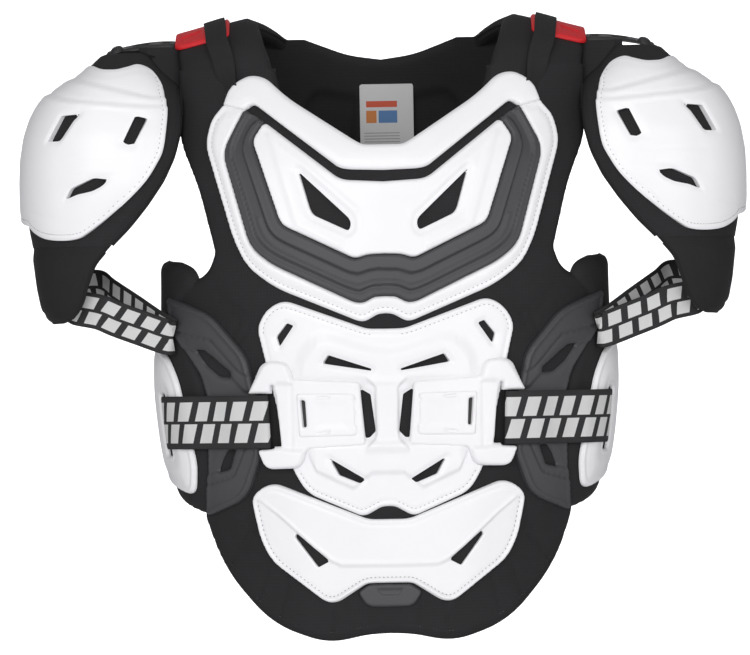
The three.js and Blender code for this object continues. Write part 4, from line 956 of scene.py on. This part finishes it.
shell("front_foam", front_flat, [], torso, front_top, -PAD_WALL, "padding", FOAM, step=3.1,
      lining=lambda flat, gap: -PAD_WALL + 3.6 * (1 - dome(free_edge(flat, front_flat, FRONT_SEAM), 7)))
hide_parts("front_pad")
for k, run in enumerate(free_runs(front_flat, FRONT_SEAM)):
    binding(f"front_binding_{k}", inset(front_flat, 1.2)[run], torso, -4.4, closed=False)
stitches("front_hem_sewing", [line_on(inset(both(rounded(FRONT, True)), 6.5)[40:-40])], torso, -.35,
         "padding", DARK_THREAD, pitch=3.6)

BACK = [(0, -10.5, 0), (30, -6.5, 12), (56, 3, 8), (72, 9, 0), (176, 9, 0), (182, -52, 30), (160, -120, 20),
        (144.5, -180, 10), (140.6, -250, 10), (138.7, -397, 10), (121.6, -449, 28), (72, -472.5, 28),
        (0, -472.4, 0)]
BACK_TOP = 9.0
back_flat = arced(both(rounded(BACK, True)), back=True)
# the middle of the back is at the ring's far end, so the left half is carried past it
back_flat = np.where(back_flat[:, :1] < 0, back_flat + [2 * HALF_RING, 0], back_flat)


def around(s, z, lift):
    """The torso with arcs past the back's middle read from the left side."""
    far = s > HALF_RING
    return torso(np.where(far, s - 2 * HALF_RING, s), z, lift)


BACK_VENTS = [[(24, -44, 3), (60, -38, 5), (72, -50, 4), (66, -92, 4), (30, -96, 4)],
              [(22, -120, 4), (70, -112, 5), (66, -196, 5), (24, -204, 4)]]
back_vents = [arced(rounded(v), back=True) for v in BACK_VENTS]
back_vents += [np.stack([2 * HALF_RING - v[:, 0], v[:, 1]], 1) for v in back_vents]


def back_inner(flat, gap):
    """The side to the wearer: foam islands raised 3 mm round sunk mesh windows, thinned to the sewn edge."""
    window = np.max([signed(flat, v) for v in back_vents], 0)
    thinned = 3.6 * (1 - dome(free_edge(flat, back_flat, BACK_TOP), 7))
    return -PAD_WALL + thinned + 5.0 * smooth(-3.0, 1.6, window)


shell("back_foam", back_flat, [], around,
      lambda flat, gap: -3.6 + 3.6 * dome(free_edge(flat, back_flat, BACK_TOP), 7),
      -PAD_WALL, "padding", FOAM, step=3.8, lining=back_inner)
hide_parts("back_pad")
for k, run in enumerate(free_runs(back_flat, BACK_TOP)):
    binding(f"back_binding_{k}", inset(back_flat, 1.2)[run], around, -4.4, closed=False)


# Flanks and sides
def side_arcs(rows, lift=0.0, is_open=False):
    """A side outline of depth y and level z as arcs: the turn whose depth is y, from acos of its share."""
    points = []
    for y, z in dense(rounded(rows, is_open), 3.0, not is_open):
        level = -z / HEM
        depth = (FRONT_DEPTH * np.interp(level, TORSO_FINE[0], TORSO_FINE[2]) if y < 0
                 else BACK_DEPTH * np.interp(level, TORSO_FINE[0], TORSO_FINE[3])) + lift
        turn = math.acos(-math.copysign(min(1, abs(y) / depth) ** (ROUNDNESS / 2), y))
        points.append((np.interp(turn, TURN, ARC), z))
    return np.array(points)


GUARD = [(-16, -258, 10), (-52, -272, 10), (-66, -292, 10), (-71, -318, 8), (-74, -366, 9), (-66, -394, 11),
         (-11, -380, 14), (40, -366, 17), (42, -262, 17)]
GUARD_BASE = 4.3
GUARD_SLOT = [(-47, -304, 2), (-31, -304, 2), (-31, -359, 2), (-47, -359, 2)]
PANEL = [(190, -219, 1), (154, -235.3, 10), (122.5, -272, 10), (115.5, -305, 4), (111, -359, 4),
         (124.5, -397, 12), (158.5, -411.5, 3), (158, -308, 6), (163.5, -288, 6), (187, -250, 6)]
PANEL_HOLES = [[(168.5, -265.5, 2), (160, -266, 2), (136.5, -286, 4), (137.5, -290.5, 2),
                (147.5, -289.5, 3), (158.5, -280, 3)],
               [(140.8, -353, 2), (134, -353.4, 2), (138, -370.5, 3), (149.5, -373.5, 3), (146, -362, 4)]]
# the panel's raised outer bands, and the lower fields between them and the vents
PANEL_BANDS = [[(192, -205), (154, -220), (105, -272), (100, -291), (118, -291), (128, -287), (153, -257.5),
                (187, -248)],
               [(100, -345), (121, -345), (134, -377), (159, -385), (164, -420), (110, -420)]]
PANEL_FIELDS = [[(187, -248), (153, -257.5), (128, -287), (118, -291), (113, -303), (124, -303),
                 (152, -272), (184, -262)],
                [(121, -345), (134, -377), (159, -385), (158, -376), (139, -369), (129, -345)]]
SIDE_FRONT = [(150, -410, 0), (153, -392, 8), (158, -297, 12), (172, -262, 10), (182, -240, 8),
              (178, -224, 6), (168, -214, 5), (165, -205, 6), (170, -194, 8), (182, -188.5, 0)]
SIDE_BACK = [(2, -186, 0), (44, -205, 18), (104, -246, 8), (104, -366, 8), (34, -388, 20), (-58, -409, 0)]
for side, sign in (("right", 1), ("left", -1)):
    turned = np.array([sign, 1])
    foam_flat = dense(np.vstack([line_on(dense(rounded(SIDE_FRONT, True), 3.0, False)),
                                 side_arcs(SIDE_BACK, is_open=True)]), 3.0) * turned

    def side_top(flat, gap):
        """A fuller pad, rolled over its edge within 11 mm."""
        return -4.5 + 8.0 * dome(gap, 11)

    shell("side_foam_" + side, foam_flat, [], torso, side_top, -PAD_WALL + 3.5, "padding", FOAM, step=2.6,
          lining=lambda flat, gap: -PAD_WALL + 4 + 4.6 * (1 - dome(gap, 9)))
    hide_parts("side_pad_" + side)
    guard_flat = side_arcs(GUARD, 6) * turned
    slot_flat = side_arcs(GUARD_SLOT, 6) * turned

    def guard_top(flat, gap):
        """Round edge, a sunk border line 5 mm in and a fuller middle."""
        border = np.exp(-((gap - 5) / 1.4) ** 2)
        return GUARD_BASE + 1.4 + 2.8 * dome(gap, 2.4) + 1.2 * smooth(5, 16, gap) - .6 * border

    shell("guard_moulding_" + side, guard_flat, [slot_flat], torso, guard_top, GUARD_BASE, "shell", WHITE,
          step=1.5)
    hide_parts("side_guard_" + side)
    panel_flat = arced(rounded(PANEL) * turned, 3)
    panel_holes = [arced(rounded(h) * turned, 3, step=1.5) for h in PANEL_HOLES]
    bands = [line_on(dense(np.array(b) * turned, 3.0), 3) for b in PANEL_BANDS]
    fields = [line_on(dense(np.array(b) * turned, 3.0), 3) for b in PANEL_FIELDS]

    def panel_top(flat, gap):
        """Piped edge, raised bands set off by pressed lines, lower fields by them, sunk round the vents."""
        edge = nearest(flat, panel_flat)[0]
        x = np.abs(torso(flat[:, 0], flat[:, 1], 3)[:, 0])
        piped = 1 - smooth(150, 162, x) * smooth(-260, -300, flat[:, 1])
        vent = np.min([np.maximum(-signed(flat, h), 0) for h in panel_holes], 0)
        lift = 1.6 * dome(gap, 1.6) + 1.5 * np.exp(-((edge - 2.4) / 1.5) ** 2) * piped
        band_in = np.max([smooth(-.45, .45, signed(flat, b)) for b in bands], 0)
        field_in = np.max([smooth(-.45, .45, signed(flat, b)) for b in fields], 0)
        lift += 2.3 * band_in + 1.4 * field_in
        lift -= 1.5 * np.max([groove(flat, np.vstack([b, b[:1]]), 2.2) for b in bands], 0)
        return GAP + .9 + lift - .7 * (1 - smooth(1, 6, vent)) * smooth(2, 5, edge)

    shell("flank_moulding_" + side, panel_flat, panel_holes, torso, panel_top, GAP, "moulded_grey", GREY,
          step=1.5)
    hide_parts("flank_panel_" + side)

# Back plates, finished plainly
PLATE_VENTS = {"upper": [[(30, -96, 4), (62, -92, 5), (66, -120, 5), (34, -128, 4)],
                         [(26, -178, 4), (54, -170, 5), (50, -200, 5), (28, -208, 4)]],
               "lower": []}
UPPER = [(0, -60, 0), (82.6, -64, 18), (118, -110, 18), (94.4, -230, 18), (41, -260, 14), (0, -254, 0)]
lower_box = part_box("back_plate_lower")
LOWER_TOP = lower_box[1].z * 1000
LOWER_HIGH = (lower_box[1].z - lower_box[0].z) * 1000
LOWER_WIDE = lower_box[1].x * 1000
LOWER = [(0, LOWER_TOP, 0), (LOWER_WIDE * .8, LOWER_TOP, 14), (LOWER_WIDE, LOWER_TOP - LOWER_HIGH * .3, 14),
         (LOWER_WIDE * .72, LOWER_TOP - LOWER_HIGH * .94, 18), (0, LOWER_TOP - LOWER_HIGH, 0)]
for name, rows, node in (("upper", UPPER, "back_plate_upper"), ("lower", LOWER, "back_plate_lower")):
    outline = arced(both(rounded(rows, True)), 4, back=True)
    outline = np.where(outline[:, :1] < 0, outline + [2 * HALF_RING, 0], outline)

    def back_top(flat, gap):
        """Round edge with one low step 14 mm in."""
        return GAP + .9 + 2.4 * dome(gap, 2.4) + .9 * smooth(13, 16, gap)

    vents = [arced(rounded(v), 4, back=True) for v in PLATE_VENTS[name]]
    vents += [np.stack([2 * HALF_RING - v[:, 0], v[:, 1]], 1) for v in vents]
    shell("back_moulding_" + name, outline, vents, around, back_top, GAP, "shell", WHITE, step=2.2)
    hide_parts(node)


# Shoulders
YOKE_RUN, YOKE_INNER, YOKE_OUTER = 150.0, 98.0, 178.0
YOKE_SIDES = np.array([[0, .99, 1], [.25, 1.05, 1.01], [.5, 1.09, 1], [.62, .99, 1], [.75, .905, .99],
                       [.88, .845, .985], [1, .775, .98]])


def ellipse(middle, half, count):
    """A closed ring of count points: the middle plus (a cos t, b sin t)."""
    return np.array([[middle[0] + half[0] * math.cos(t), middle[1] + half[1] * math.sin(t)]
                     for t in np.linspace(0, math.tau, count, endpoint=False)])


def ends_of(share):
    """The bridge's inner and outer side at a share of its run, straight between the listed places."""
    inner, outer = (np.interp(share, YOKE_SIDES[:, 0], YOKE_SIDES[:, k]) for k in (1, 2))
    return YOKE_INNER * inner, YOKE_OUTER * outer


WEB_PLACES = np.array([[0, .935, .05], [.12, .955, .25], [.20, .975, 1], [.35, .985, 1], [.5, .995, 1],
                       [.68, 1, 1], [.78, .99, .3], [.95, .96, .1]])
BAND_ROUND = [(-.5, -.2), (-.46, -.75), (-.3, -.9), (0, -.9), (.3, -.9), (.46, -.75), (.5, -.2), (.5, .2),
              (.46, .75), (.3, .9), (0, .9), (-.3, .9), (-.46, .75), (-.5, .2)]


def band_profile(wall):
    """A flat band's section with round edges, its wall given."""
    return [(across, lift / .9 * wall / 2) for across, lift in BAND_ROUND]


LINK_HOLES = [[(203, -9, 2), (211, -12, 3), (219, -7, 3), (216, 8, 4), (206, 9, 4)],
              [(186, -9, 1), (193, -9, 1), (191, 7, 2), (187, 7, 1)]]
LINK = [(180, -15, 3), (196, -17, 8), (222, -15, 10), (241, -10, 8), (243, 0, 8), (241, 10, 8),
        (222, 15, 10), (196, 17, 8), (180, 15, 3)]
for side, sign in (("right", 1), ("left", -1)):
    turned = np.array([sign, 1])
    share = np.linspace(0, 1, 40)
    inner, outer = ends_of(share)
    bridge_flat = np.concatenate([np.stack([inner, share * YOKE_RUN], 1),
                                  np.stack([outer, share * YOKE_RUN], 1)[::-1]]) * turned

    def placed(x, q, lift, sign=sign):
        """Place on the bridge at x and a run of q mm from its front seam."""
        return yoke(np.abs(x), q / YOKE_RUN, lift) * [sign, 1, 1]

    def bridge_edge(flat):
        """Distance in from the bridge's inner or outer side, whichever is nearer."""
        inner, outer = ends_of(flat[:, 1] / YOKE_RUN)
        return np.minimum(np.abs(flat[:, 0]) - inner, outer - np.abs(flat[:, 0]))

    shell("bridge_foam_" + side, bridge_flat, [], placed,
          lambda flat, gap: -3.6 + 3.6 * dome(bridge_edge(flat), 7), -PAD_WALL, "padding", FOAM, step=2.4,
          lining=lambda flat, gap: -PAD_WALL + 3.6 * (1 - dome(bridge_edge(flat), 7)))
    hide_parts("yoke_" + side)
    for k, edge in enumerate((inner + 1.2, outer - 1.2)):
        binding(f"bridge_binding_{side}_{k}", np.stack([edge, share * YOKE_RUN], 1) * turned, placed, -4.4,
                closed=False)

    # the red bracket, with a sunk oblong
    bracket_flat = rounded([(133, .265 * YOKE_RUN, 6), (181, .265 * YOKE_RUN, 8), (181, .66 * YOKE_RUN, 8),
                            (133, .66 * YOKE_RUN, 6)]) * turned
    bracket_dish = dense(rounded([(159, .31 * YOKE_RUN, 2), (174, .30 * YOKE_RUN, 3),
                                  (175, .42 * YOKE_RUN, 3), (158, .44 * YOKE_RUN, 2)]) * turned, 1.5)

    def bracket_top(flat, gap):
        """Round edge, an oblong sunk by 1.4 mm."""
        return GAP + .8 + 2.6 * dome(gap, 1.8) - 1.4 * smooth(-.8, .8, signed(flat, bracket_dish))

    shell("bracket_moulding_" + side, dense(bracket_flat, 2), [], placed, bracket_top, GAP, "bracket", RED,
          step=1.2)
    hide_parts("shoulder_bracket_" + side)

    # webbing: from behind the collar's lobe over the bracket and down the back
    low = 1.35
    tail = np.array([[-27 - d * 216.5, 146 * p] for d, p in ((.095, .885), (.065, .900), (.035, .915))])
    on_front = torso(arc_of(tail[:, 1], tail[:, 0]), tail[:, 0], low)
    runs = np.linspace(.03, .95, 15)
    x = 146 * np.interp(runs, WEB_PLACES[:, 0], WEB_PLACES[:, 1])
    lift = low + 3.9 * np.interp(runs, WEB_PLACES[:, 0], WEB_PLACES[:, 2]) + .3
    route = np.concatenate([on_front, yoke(x, runs, lift)])
    above = np.concatenate([torso(arc_of(tail[:, 1], tail[:, 0]), tail[:, 0], low + 3),
                            yoke(x, runs, lift + 3)])
    both_runs = spline(np.hstack([route, above - route]), 2.5)
    sweep("webbing_band_" + side, both_runs[:, :3] * [sign, 1, 1], both_runs[:, 3:] * [sign, 1, 1], 19.5,
          band_profile(1.5), "webbing", WEBBING)
    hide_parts("shoulder_webbing_" + side)

    # the pierced rubber link and its end knob
    def linked(x, y, lift, sign=sign):
        """Place on the link: it rises from the bridge, then falls with the square of its run."""
        u = (np.abs(x) - 180) / 60
        rise = 1 + 2.5 * np.sin(math.pi * (.35 + .65 * np.clip(u, 0, 1))) - 5 * u * u
        return np.stack([x, y + 0 * x, rise + y / 34 * 4 + lift], -1)

    def link_top(flat, gap):
        """Edges rounded over 2.2 mm."""
        return .9 + 2.1 * dome(gap, 2.2)

    shell("link_moulding_" + side, dense(rounded(LINK) * turned, 2),
          [dense(rounded(h) * turned, 1.5) for h in LINK_HOLES], linked, link_top, 0, "rubber_link", RUBBER,
          step=1.2)
    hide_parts("cup_link_" + side)
    shell("link_knob_" + side, ellipse((233, -9), (6, 6), 24) * turned, [], linked,
          lambda flat, gap: 2.0 + 5.0 * dome(gap, 5), 1.0, "rubber_link", RUBBER, step=1.0)

# Arms
CUP_IN = [(257, -13.5), (248, -17.2), (240, -18), (232, -17.8), (222, -15.5), (213, -13.6), (203, -17),
          (196, -24), (191, -34), (189, -46), (189, -58), (190, -70), (193, -90), (199, -103), (208, -117),
          (223, -133), (243, -150), (258, -161), (268, -166.5), (282, -168), (296, -166), (306, -160),
          (311, -153)]
CUP_VENTS = [[(205.5, -62.5, .6), (216.2, -59.6, .6), (227.4, -83, .6), (218.6, -86.8, .6)],
             [(279.5, -58.5, .6), (263, -57.2, .6), (269.5, -63, 1), (281.5, -80.8, .8), (292, -81.2, .8)],
             [(240, -115.2, 1), (253, -113.6, 3), (272.5, -122.6, 2), (277.4, -132.4, 1), (267, -128, 2),
              (254, -125.3, 3), (245.5, -121, 2)]]
RIDGES = [[(277, -25), (262, -28.6), (240, -34.5), (215, -41), (200, -44.5)],
          [(292, -38), (285, -42), (270, -45.5), (240, -48.5), (215, -51), (196, -51.5)]]
CREASES = [[(283, -96), (262, -96), (226, -96.5)], [(268, -112), (250, -112), (230, -111)],
           [(306, -143), (300, -146), (288, -147)]]
FRONT_S, BACK_S = 190.0, -163.0


def arm_flat(points):
    """Flat places of a cup's points: the arm form's own s at 3 mm, and the level."""
    p = np.asarray(points, float)
    return np.stack([arm_s(p[:, 0], p[:, 1], 3.0), p[:, 1]], 1)


cup_front = arm_flat(spline(np.array(CUP_IN), 2.0))
cup_front = np.vstack([[[0, -13.0]], cup_front[1:-1], [[0, -151.0]]])
cup_back = cup_front[1:-1][::-1] * [-1, 1]
cup_back[:, 0] = np.maximum(cup_back[:, 0], BACK_S + 8)
cup_outline = dense(np.concatenate([cup_front, cup_back]), 2.0)
cup_vents = [arm_flat(dense(rounded(v), 1.2)) for v in CUP_VENTS]
ridge_flat = [arm_flat(spline(np.array(r, float), 3.0)) for r in RIDGES]
crease_flat = [arm_flat(spline(np.array(c, float), 3.0)) for c in CREASES]
shade_flat = arm_flat(dense(rounded([(262, -54, 1), (270, -57, 1), (285, -81, 2), (279, -80, 2)]), 1.5))


def cup_top(flat, gap):
    """Round edge; the dome steps out 2 mm below each of two ridge lines; the field by each vent is sunk."""
    s, z = np.abs(flat[:, 0]), flat[:, 1]
    outer = nearest(flat, cup_outline)[0]
    lift = 1.0 + 1.0 * dome(outer, 2.6) + .3 * dome(gap, .8)
    for ridge, height in zip(ridge_flat, (1.9, 2.1)):
        order = np.argsort(ridge[:, 0])
        line = np.interp(s, ridge[order, 0], ridge[order, 1])
        near = ridge[order, 0].max()
        fade = 1 - smooth(near - 14, near + 4, s)
        lift += height * (1 - smooth(-.6, .6, z - line))
        below = .7 * np.exp(-((z - line + 2.4) / 1.7) ** 2)
        above = .8 * np.exp(-((z - line - 1.4) / 1.1) ** 2)
        lift += fade * (below - above)
    vent = np.min([np.maximum(-signed(flat, v), 0) for v in cup_vents], 0)
    lift -= .9 * (1 - smooth(.4, 4.5, vent)) * smooth(1, 3, outer)
    lift -= 1.1 * smooth(-1, 1, signed(flat, shade_flat))
    for crease in crease_flat:
        lift -= .4 * groove(flat, crease, 3.2)
    lift -= .45 * np.exp(-((outer - 5) / 1.3) ** 2)
    return GAP + lift


BICEP = [(FRONT_S, -170.5, 0), (FRONT_S, -224, 10), (172, -236, 20), (120, -240, 30), (40, -240.5, 30),
         (-40, -240, 30), (-120, -240, 30), (BACK_S, -234, 10), (BACK_S, -170.5, 0)]
CAP_MIDDLE, CAP_HALF = (214, -6), (37, 20)
LOOP = [(1.100, .715, 1.345), (1.030, .760, 1.385), (.940, .815, 1.430), (.870, .850, 1.465),
        (.832, .868, 1.480), (.820, .845, 1.478), (.832, .815, 1.465), (.880, .660, 1.425),
        (.960, .340, 1.350), (1.050, -.050, 1.270), (1.110, -.320, 1.215)]
STRAP_ROUTE = np.array([[38.0, 0], [33.0, 0], [28.4, .02], [27.2, .25], [26.9, .50], [27.2, .78], [28.4, 1.0],
                        [33.0, 1.0], [37.5, .98], [40.5, .65], [43.5, .34], [47.5, .30], [51.5, .38],
                        [54.5, .75], [57.0, 1.12], [60.0, 1.22], [63.0, 1.24], [66.0, 1.24], [69.0, 1.20],
                        [72.0, 1.10], [74.3, .78], [76.3, .40]])
for side, sign in (("right", 1), ("left", -1)):
    def armed(s, z, lift, sign=sign):
        """The arm form on this side of the body."""
        return arm(s, z, lift) * [sign, 1, 1]

    shell("cup_moulding_" + side, cup_outline, cup_vents, armed, cup_top, GAP, "shell", WHITE, step=1.95)
    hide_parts("cup_shell_" + side)
    sewn = inset(cup_outline, 5.0)
    first = int(np.argmin(sewn[:, 0]))
    sewn = np.roll(sewn, -first, 0)
    sewn = sewn[(sewn[:, 0] > 15) & (sewn[:, 1] < -24)]
    stitches("cup_sewing_" + side, [sewn], armed, lambda flat: cup_top(flat, np.full(len(flat), 5.0)) + .1,
             "shell", THREAD_WITH_PAINTED_SHADE)

    pad_flat = dense(np.array([(FRONT_S, -3.5), (FRONT_S, -173.5), (BACK_S, -173.5), (BACK_S, -3.5)]), 2.0)

    def pad_edge(flat):
        """Distance in from the pad's front or back edge, whichever is nearer."""
        return np.minimum(FRONT_S - flat[:, 0], flat[:, 0] - BACK_S)

    def pad_top(flat, gap):
        """Foam 8 mm thick, rolled over its front and back edges, with a line pressed along the front one."""
        high = np.minimum(pad_edge(flat), (-3.5 - flat[:, 1]) * 2)
        press = np.exp(-((FRONT_S - flat[:, 0] - 6.2) / 1.5) ** 2)
        return -3.4 + 3.4 * dome(high, 6) - 1.2 * press

    edge_x = np.array([[3, 178.6], [-3, 178.0], [-15, 176.5], [-35, 175.2], [-45, 174.8], [-60, 174.8]])

    def flap(s, z, lift, sign=sign):
        """Ruled between the pad's front edge and the line where it meets the bridge: s / 30 of the way."""
        start = arm(FRONT_S - 1.0 + 0 * z, np.minimum(z, -4.0), lift)
        share = np.clip(s / 30.0, 0, 1)
        x = np.interp(-z, -edge_x[:, 0], edge_x[:, 1])
        end = np.stack([x, start[..., 1] + 3.0 + 0 * x, z], -1)
        point = start + (end - start) * share[..., None]
        point[..., 2] = z
        return point * [sign, 1, 1]

    corner = dense(np.array([(-2.0, 1.5), (30, 1.5), (30, -60), (-2.0, -60)]), 2.0)
    shell("cup_flap_" + side, corner, [], flap, lambda flat, gap: -2.6 + 2.4 * dome(30 - flat[:, 0], 6),
          -CUP_PAD_WALL, "padding", FOAM, step=2.0)

    def cap(x, y, lift):
        """A level place: x, y and lift as they are."""
        return np.stack([x, y, lift], -1)

    def cap_top(flat, gap):
        """A low dome over the top of the pad: z = -12 + 12.5 sqrt(1 - r^2)."""
        r = np.hypot((np.abs(flat[:, 0]) - CAP_MIDDLE[0]) / CAP_HALF[0],
                     (flat[:, 1] - CAP_MIDDLE[1]) / CAP_HALF[1])
        return -12 + 12.5 * np.sqrt(np.clip(1 - r * r, 0, 1))

    shell("cup_cap_" + side, ellipse(CAP_MIDDLE, CAP_HALF, 60) * turned, [], cap, cap_top, -13, "padding",
          FOAM, step=1.8)
    shell("cup_foam_" + side, pad_flat, [], armed, pad_top, -CUP_PAD_WALL, "padding", FOAM, step=2.8,
          lining=lambda flat, gap: -CUP_PAD_WALL + 3.0 * (1 - dome(pad_edge(flat), 6)))
    for part in ("cup_foam_", "cup_flap_", "cup_cap_"):
        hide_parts("cup_pad_" + side)

    bicep_flat = dense(rounded(BICEP), 2.0)

    def bicep_top(flat, gap):
        """Foam 8 mm thick, thinned to its hem, with a sewing line pressed 8 mm above it."""
        edge = np.where(flat[:, 1] > -190, pad_edge(flat), gap)
        fuller = 2.4 * smooth(172, 186, -flat[:, 1])
        sewn = np.exp(-((gap - 8) / 1.6) ** 2) * (flat[:, 1] < -200)
        return -4.0 + 3.2 * dome(edge, 7) + fuller - sewn

    shell("bicep_foam_" + side, bicep_flat, [], armed, bicep_top, -CUP_PAD_WALL, "padding", LINING, step=2.8,
          lining=lambda flat, gap: -CUP_PAD_WALL + 3.0 * (1 - dome(np.where(flat[:, 1] > -190, 9, gap), 6)))
    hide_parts("bicep_pad_" + side)
    binding("cup_binding_" + side, np.array([(FRONT_S - .6, z) for z in np.linspace(-5, -172, 60)]), armed,
            -3.6, size=(4.4, 3.4), closed=False)
    binding("bicep_binding_" + side, inset(bicep_flat, 1.0)[4:-4], armed, -2.6, size=(3.6, 2.8),
            closed=False)

    # elastic loop under the arm
    inside_lift = -CUP_PAD_WALL - 1.0 - 2.1

    def sewn_end(s, z):
        """A place on the inside of the arm form's pad, taken 16 mm lower than the level it is put at."""
        return arm(np.array(s), np.array(z - 16.0), inside_lift) * [1, 1, 0] + [0, 0, z]

    front_sewn = [sewn_end(k * FRONT_S, -d * CUP_DROP) for k, d in ((.70, 1.30), (.86, 1.32))]
    back_sewn = [sewn_end(-.86 * k * FRONT_S, -(d - .1) * CUP_DROP) for k, d in ((.86, 1.32), (.70, 1.30))]
    free = [(a * CUP_AXIS, -f * CUP_DEPTH, -d * CUP_DROP) for a, f, d in LOOP]
    route = spline(np.array(front_sewn + free + back_sewn), 2.0)
    along = np.gradient(route, axis=0)
    level = np.stack([along[:, 1], -along[:, 0], 0 * along[:, 0]], 1)
    strap = sweep("arm_strap_band_" + side, route * [sign, 1, 1], level * [sign, 1, 1], 31.0,
                  band_profile(1.8), "printed_strap", PRINTED,
                  extra={"print": np.full(len(route) * len(BAND_ROUND), 12.0)})
    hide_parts("arm_strap_" + side)

    # waist strap round the clip's bar, over the flank and the guard, into its slot
    angle = np.interp(np.radians(STRAP_ROUTE[:, 0]), TURN, ARC)
    lift = 5.0 + 5.2 * STRAP_ROUTE[:, 1]
    higher = torso(angle, -306.0 + 0 * angle, lift)
    lower = torso(angle, -353.0 + 0 * angle, lift)
    middle_run = (higher + lower) / 2
    route = spline(np.hstack([middle_run, higher - lower]), 2.0)
    upward = route[:, 3:] / np.linalg.norm(route[:, 3:], axis=1, keepdims=True)
    normal = np.cross(upward, np.gradient(route[:, :3], axis=0))
    strap = sweep("waist_strap_band_" + side, route[:, :3] * [sign, 1, 1], normal * [sign, 1, 1], 46.6,
                  band_profile(1.8), "printed_strap", PRINTED,
                  extra={"print": np.full(len(route) * len(BAND_ROUND), 18.0)})
    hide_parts("waist_strap_" + side)


# Label inside the neck, bare but for plain blocks and hairlines
def tag_finish():
    """Silver-grey satin with a red, a blue and an orange block and hairlines, all without meaning."""
    material, tree, surface = nodes_of("satin_tag")
    flat = add(tree, "ShaderNodeAttribute", attribute_name="flat")
    parts = add(tree, "ShaderNodeSeparateXYZ", [(0, flat.outputs["Vector"])])
    across = maths(tree, "SUBTRACT", parts.outputs[0], float(HALF_RING))
    high = parts.outputs[1]

    def area(x0, x1, z0, z1):
        """1 inside an oblong of the tag, 0 outside it."""
        wide = maths(tree, "LESS_THAN",
                     maths(tree, "ABSOLUTE", maths(tree, "SUBTRACT", across, (x0 + x1) / 2)), (x1 - x0) / 2)
        tall = maths(tree, "LESS_THAN",
                     maths(tree, "ABSOLUTE", maths(tree, "SUBTRACT", high, (z0 + z1) / 2)), abs(z1 - z0) / 2)
        return maths(tree, "MULTIPLY", wide, tall)

    weave = add(tree, "ShaderNodeTexNoise",
                [("Vector", flat_place(tree, (.8, 3.0, 0))), ("Scale", 1.0), ("Detail", 3.0)])
    base = blend(tree, weave.outputs[0], grey(.72), grey(.60))
    lines = maths(tree, "MULTIPLY",
                  maths(tree, "LESS_THAN", maths(tree, "FRACT", maths(tree, "MULTIPLY", high, 1 / 2.6)), .3),
                  area(-17, 17, -85, -73))
    colour = blend(tree, maths(tree, "MULTIPLY", lines, .6), base, grey(.12))
    colour = blend(tree, area(-15, 15, -52, -46.5), colour, (.62, .10, .05, 1))
    colour = blend(tree, area(-15, 3, -66, -55), colour, (.10, .22, .45, 1))
    colour = blend(tree, area(5, 15, -66, -55), colour, (.62, .22, .06, 1))
    tree.links.new(colour, surface.inputs["Base Color"])
    bump = add(tree, "ShaderNodeBump", [("Strength", .2), ("Distance", .0003), ("Height", weave.outputs[0])])
    tree.links.new(bump.outputs[0], surface.inputs["Normal"])
    surface.inputs["Roughness"].default_value = .5
    surface.inputs["Sheen Weight"].default_value = .2
    return material


tag = arced(rounded([(-19.5, -31.5, 1), (28.5, -31.5, 1), (28.5, -87, 1), (-19.5, -87, 1)]), -12, back=True)
tag = np.where(tag[:, :1] < 0, tag + [2 * HALF_RING, 0], tag)
shell("neck_tag", tag, [], around, lambda flat, gap: -PAD_WALL - .2 + 0 * gap, -PAD_WALL - .9, "label",
      tag_finish(), step=2.0)
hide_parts("label")

# Studio: a pale sweep of floor and wall, large soft lamps in front and overhead
turn = np.linspace(0, math.pi / 2, 16)
profile = np.concatenate([[[-22.0, -1.2]], np.stack([20.8 + 1.2 * np.sin(turn), -1.2 * np.cos(turn)], 1),
                          [[22.0, 12.0]]])
sweep_points = np.array([[x, y, z] for y, z in profile for x in (-22.0, 22.0)]) * 1000
sweep_faces = np.array([[2 * i, 2 * i + 1, 2 * i + 3, 2 * i + 2] for i in range(len(profile) - 1)])
stage_material, stage_tree, stage_surface = nodes_of("studio_paper")
paper = add(stage_tree, "ShaderNodeTexNoise",
            [("Vector", stage_tree.nodes.new("ShaderNodeTexCoord").outputs["Object"]), ("Scale", 3.0)])
stage_tree.links.new(blend(stage_tree, paper.outputs[0], (.93, .93, .945, 1), (.95, .95, .965, 1)),
                     stage_surface.inputs["Base Color"])
stage_surface.inputs["Roughness"].default_value = .9
stage_sweep = mesh("studio_sweep", sweep_points, sweep_faces, None, stage_material)


def lamp(name, place, aim, size, watts):
    """A square area lamp at a place in metres, turned to its aim."""
    light = bpy.data.lights.new(name, "AREA")
    light.shape = "SQUARE"
    light.size = size
    light.energy = watts
    obj = bpy.data.objects.new(name, light)
    bpy.context.scene.collection.objects.link(obj)
    obj.location = place
    obj.rotation_euler = (Vector(aim) - Vector(place)).to_track_quat("-Z", "Y").to_euler()


lamp("key_softbox", (-.9, -3.4, .55), (0, 0, -.25), 1.8, 47)
lamp("fill_softbox", (1.3, -3.2, .1), (0, 0, -.25), 1.6, 29)
lamp("top_softbox", (0, -.6, 1.6), (0, 0, -.2), 1.4, 5)
lamp("left_softbox", (-3.4, -1.9, .2), (0, 0, -.25), 1.2, 14)
lamp("right_softbox", (3.4, -1.9, .2), (0, 0, -.25), 1.2, 12)
lamp("wall_light", (0, 18.5, 2.6), (0, 22.0, -.4), 5.0, 330)
world = bpy.data.worlds.new("studio")
bpy.context.scene.world = world
world.use_nodes = True
world.node_tree.nodes["Background"].inputs["Color"].default_value = (.98, .98, 1, 1)
world.node_tree.nodes["Background"].inputs["Strength"].default_value = .30
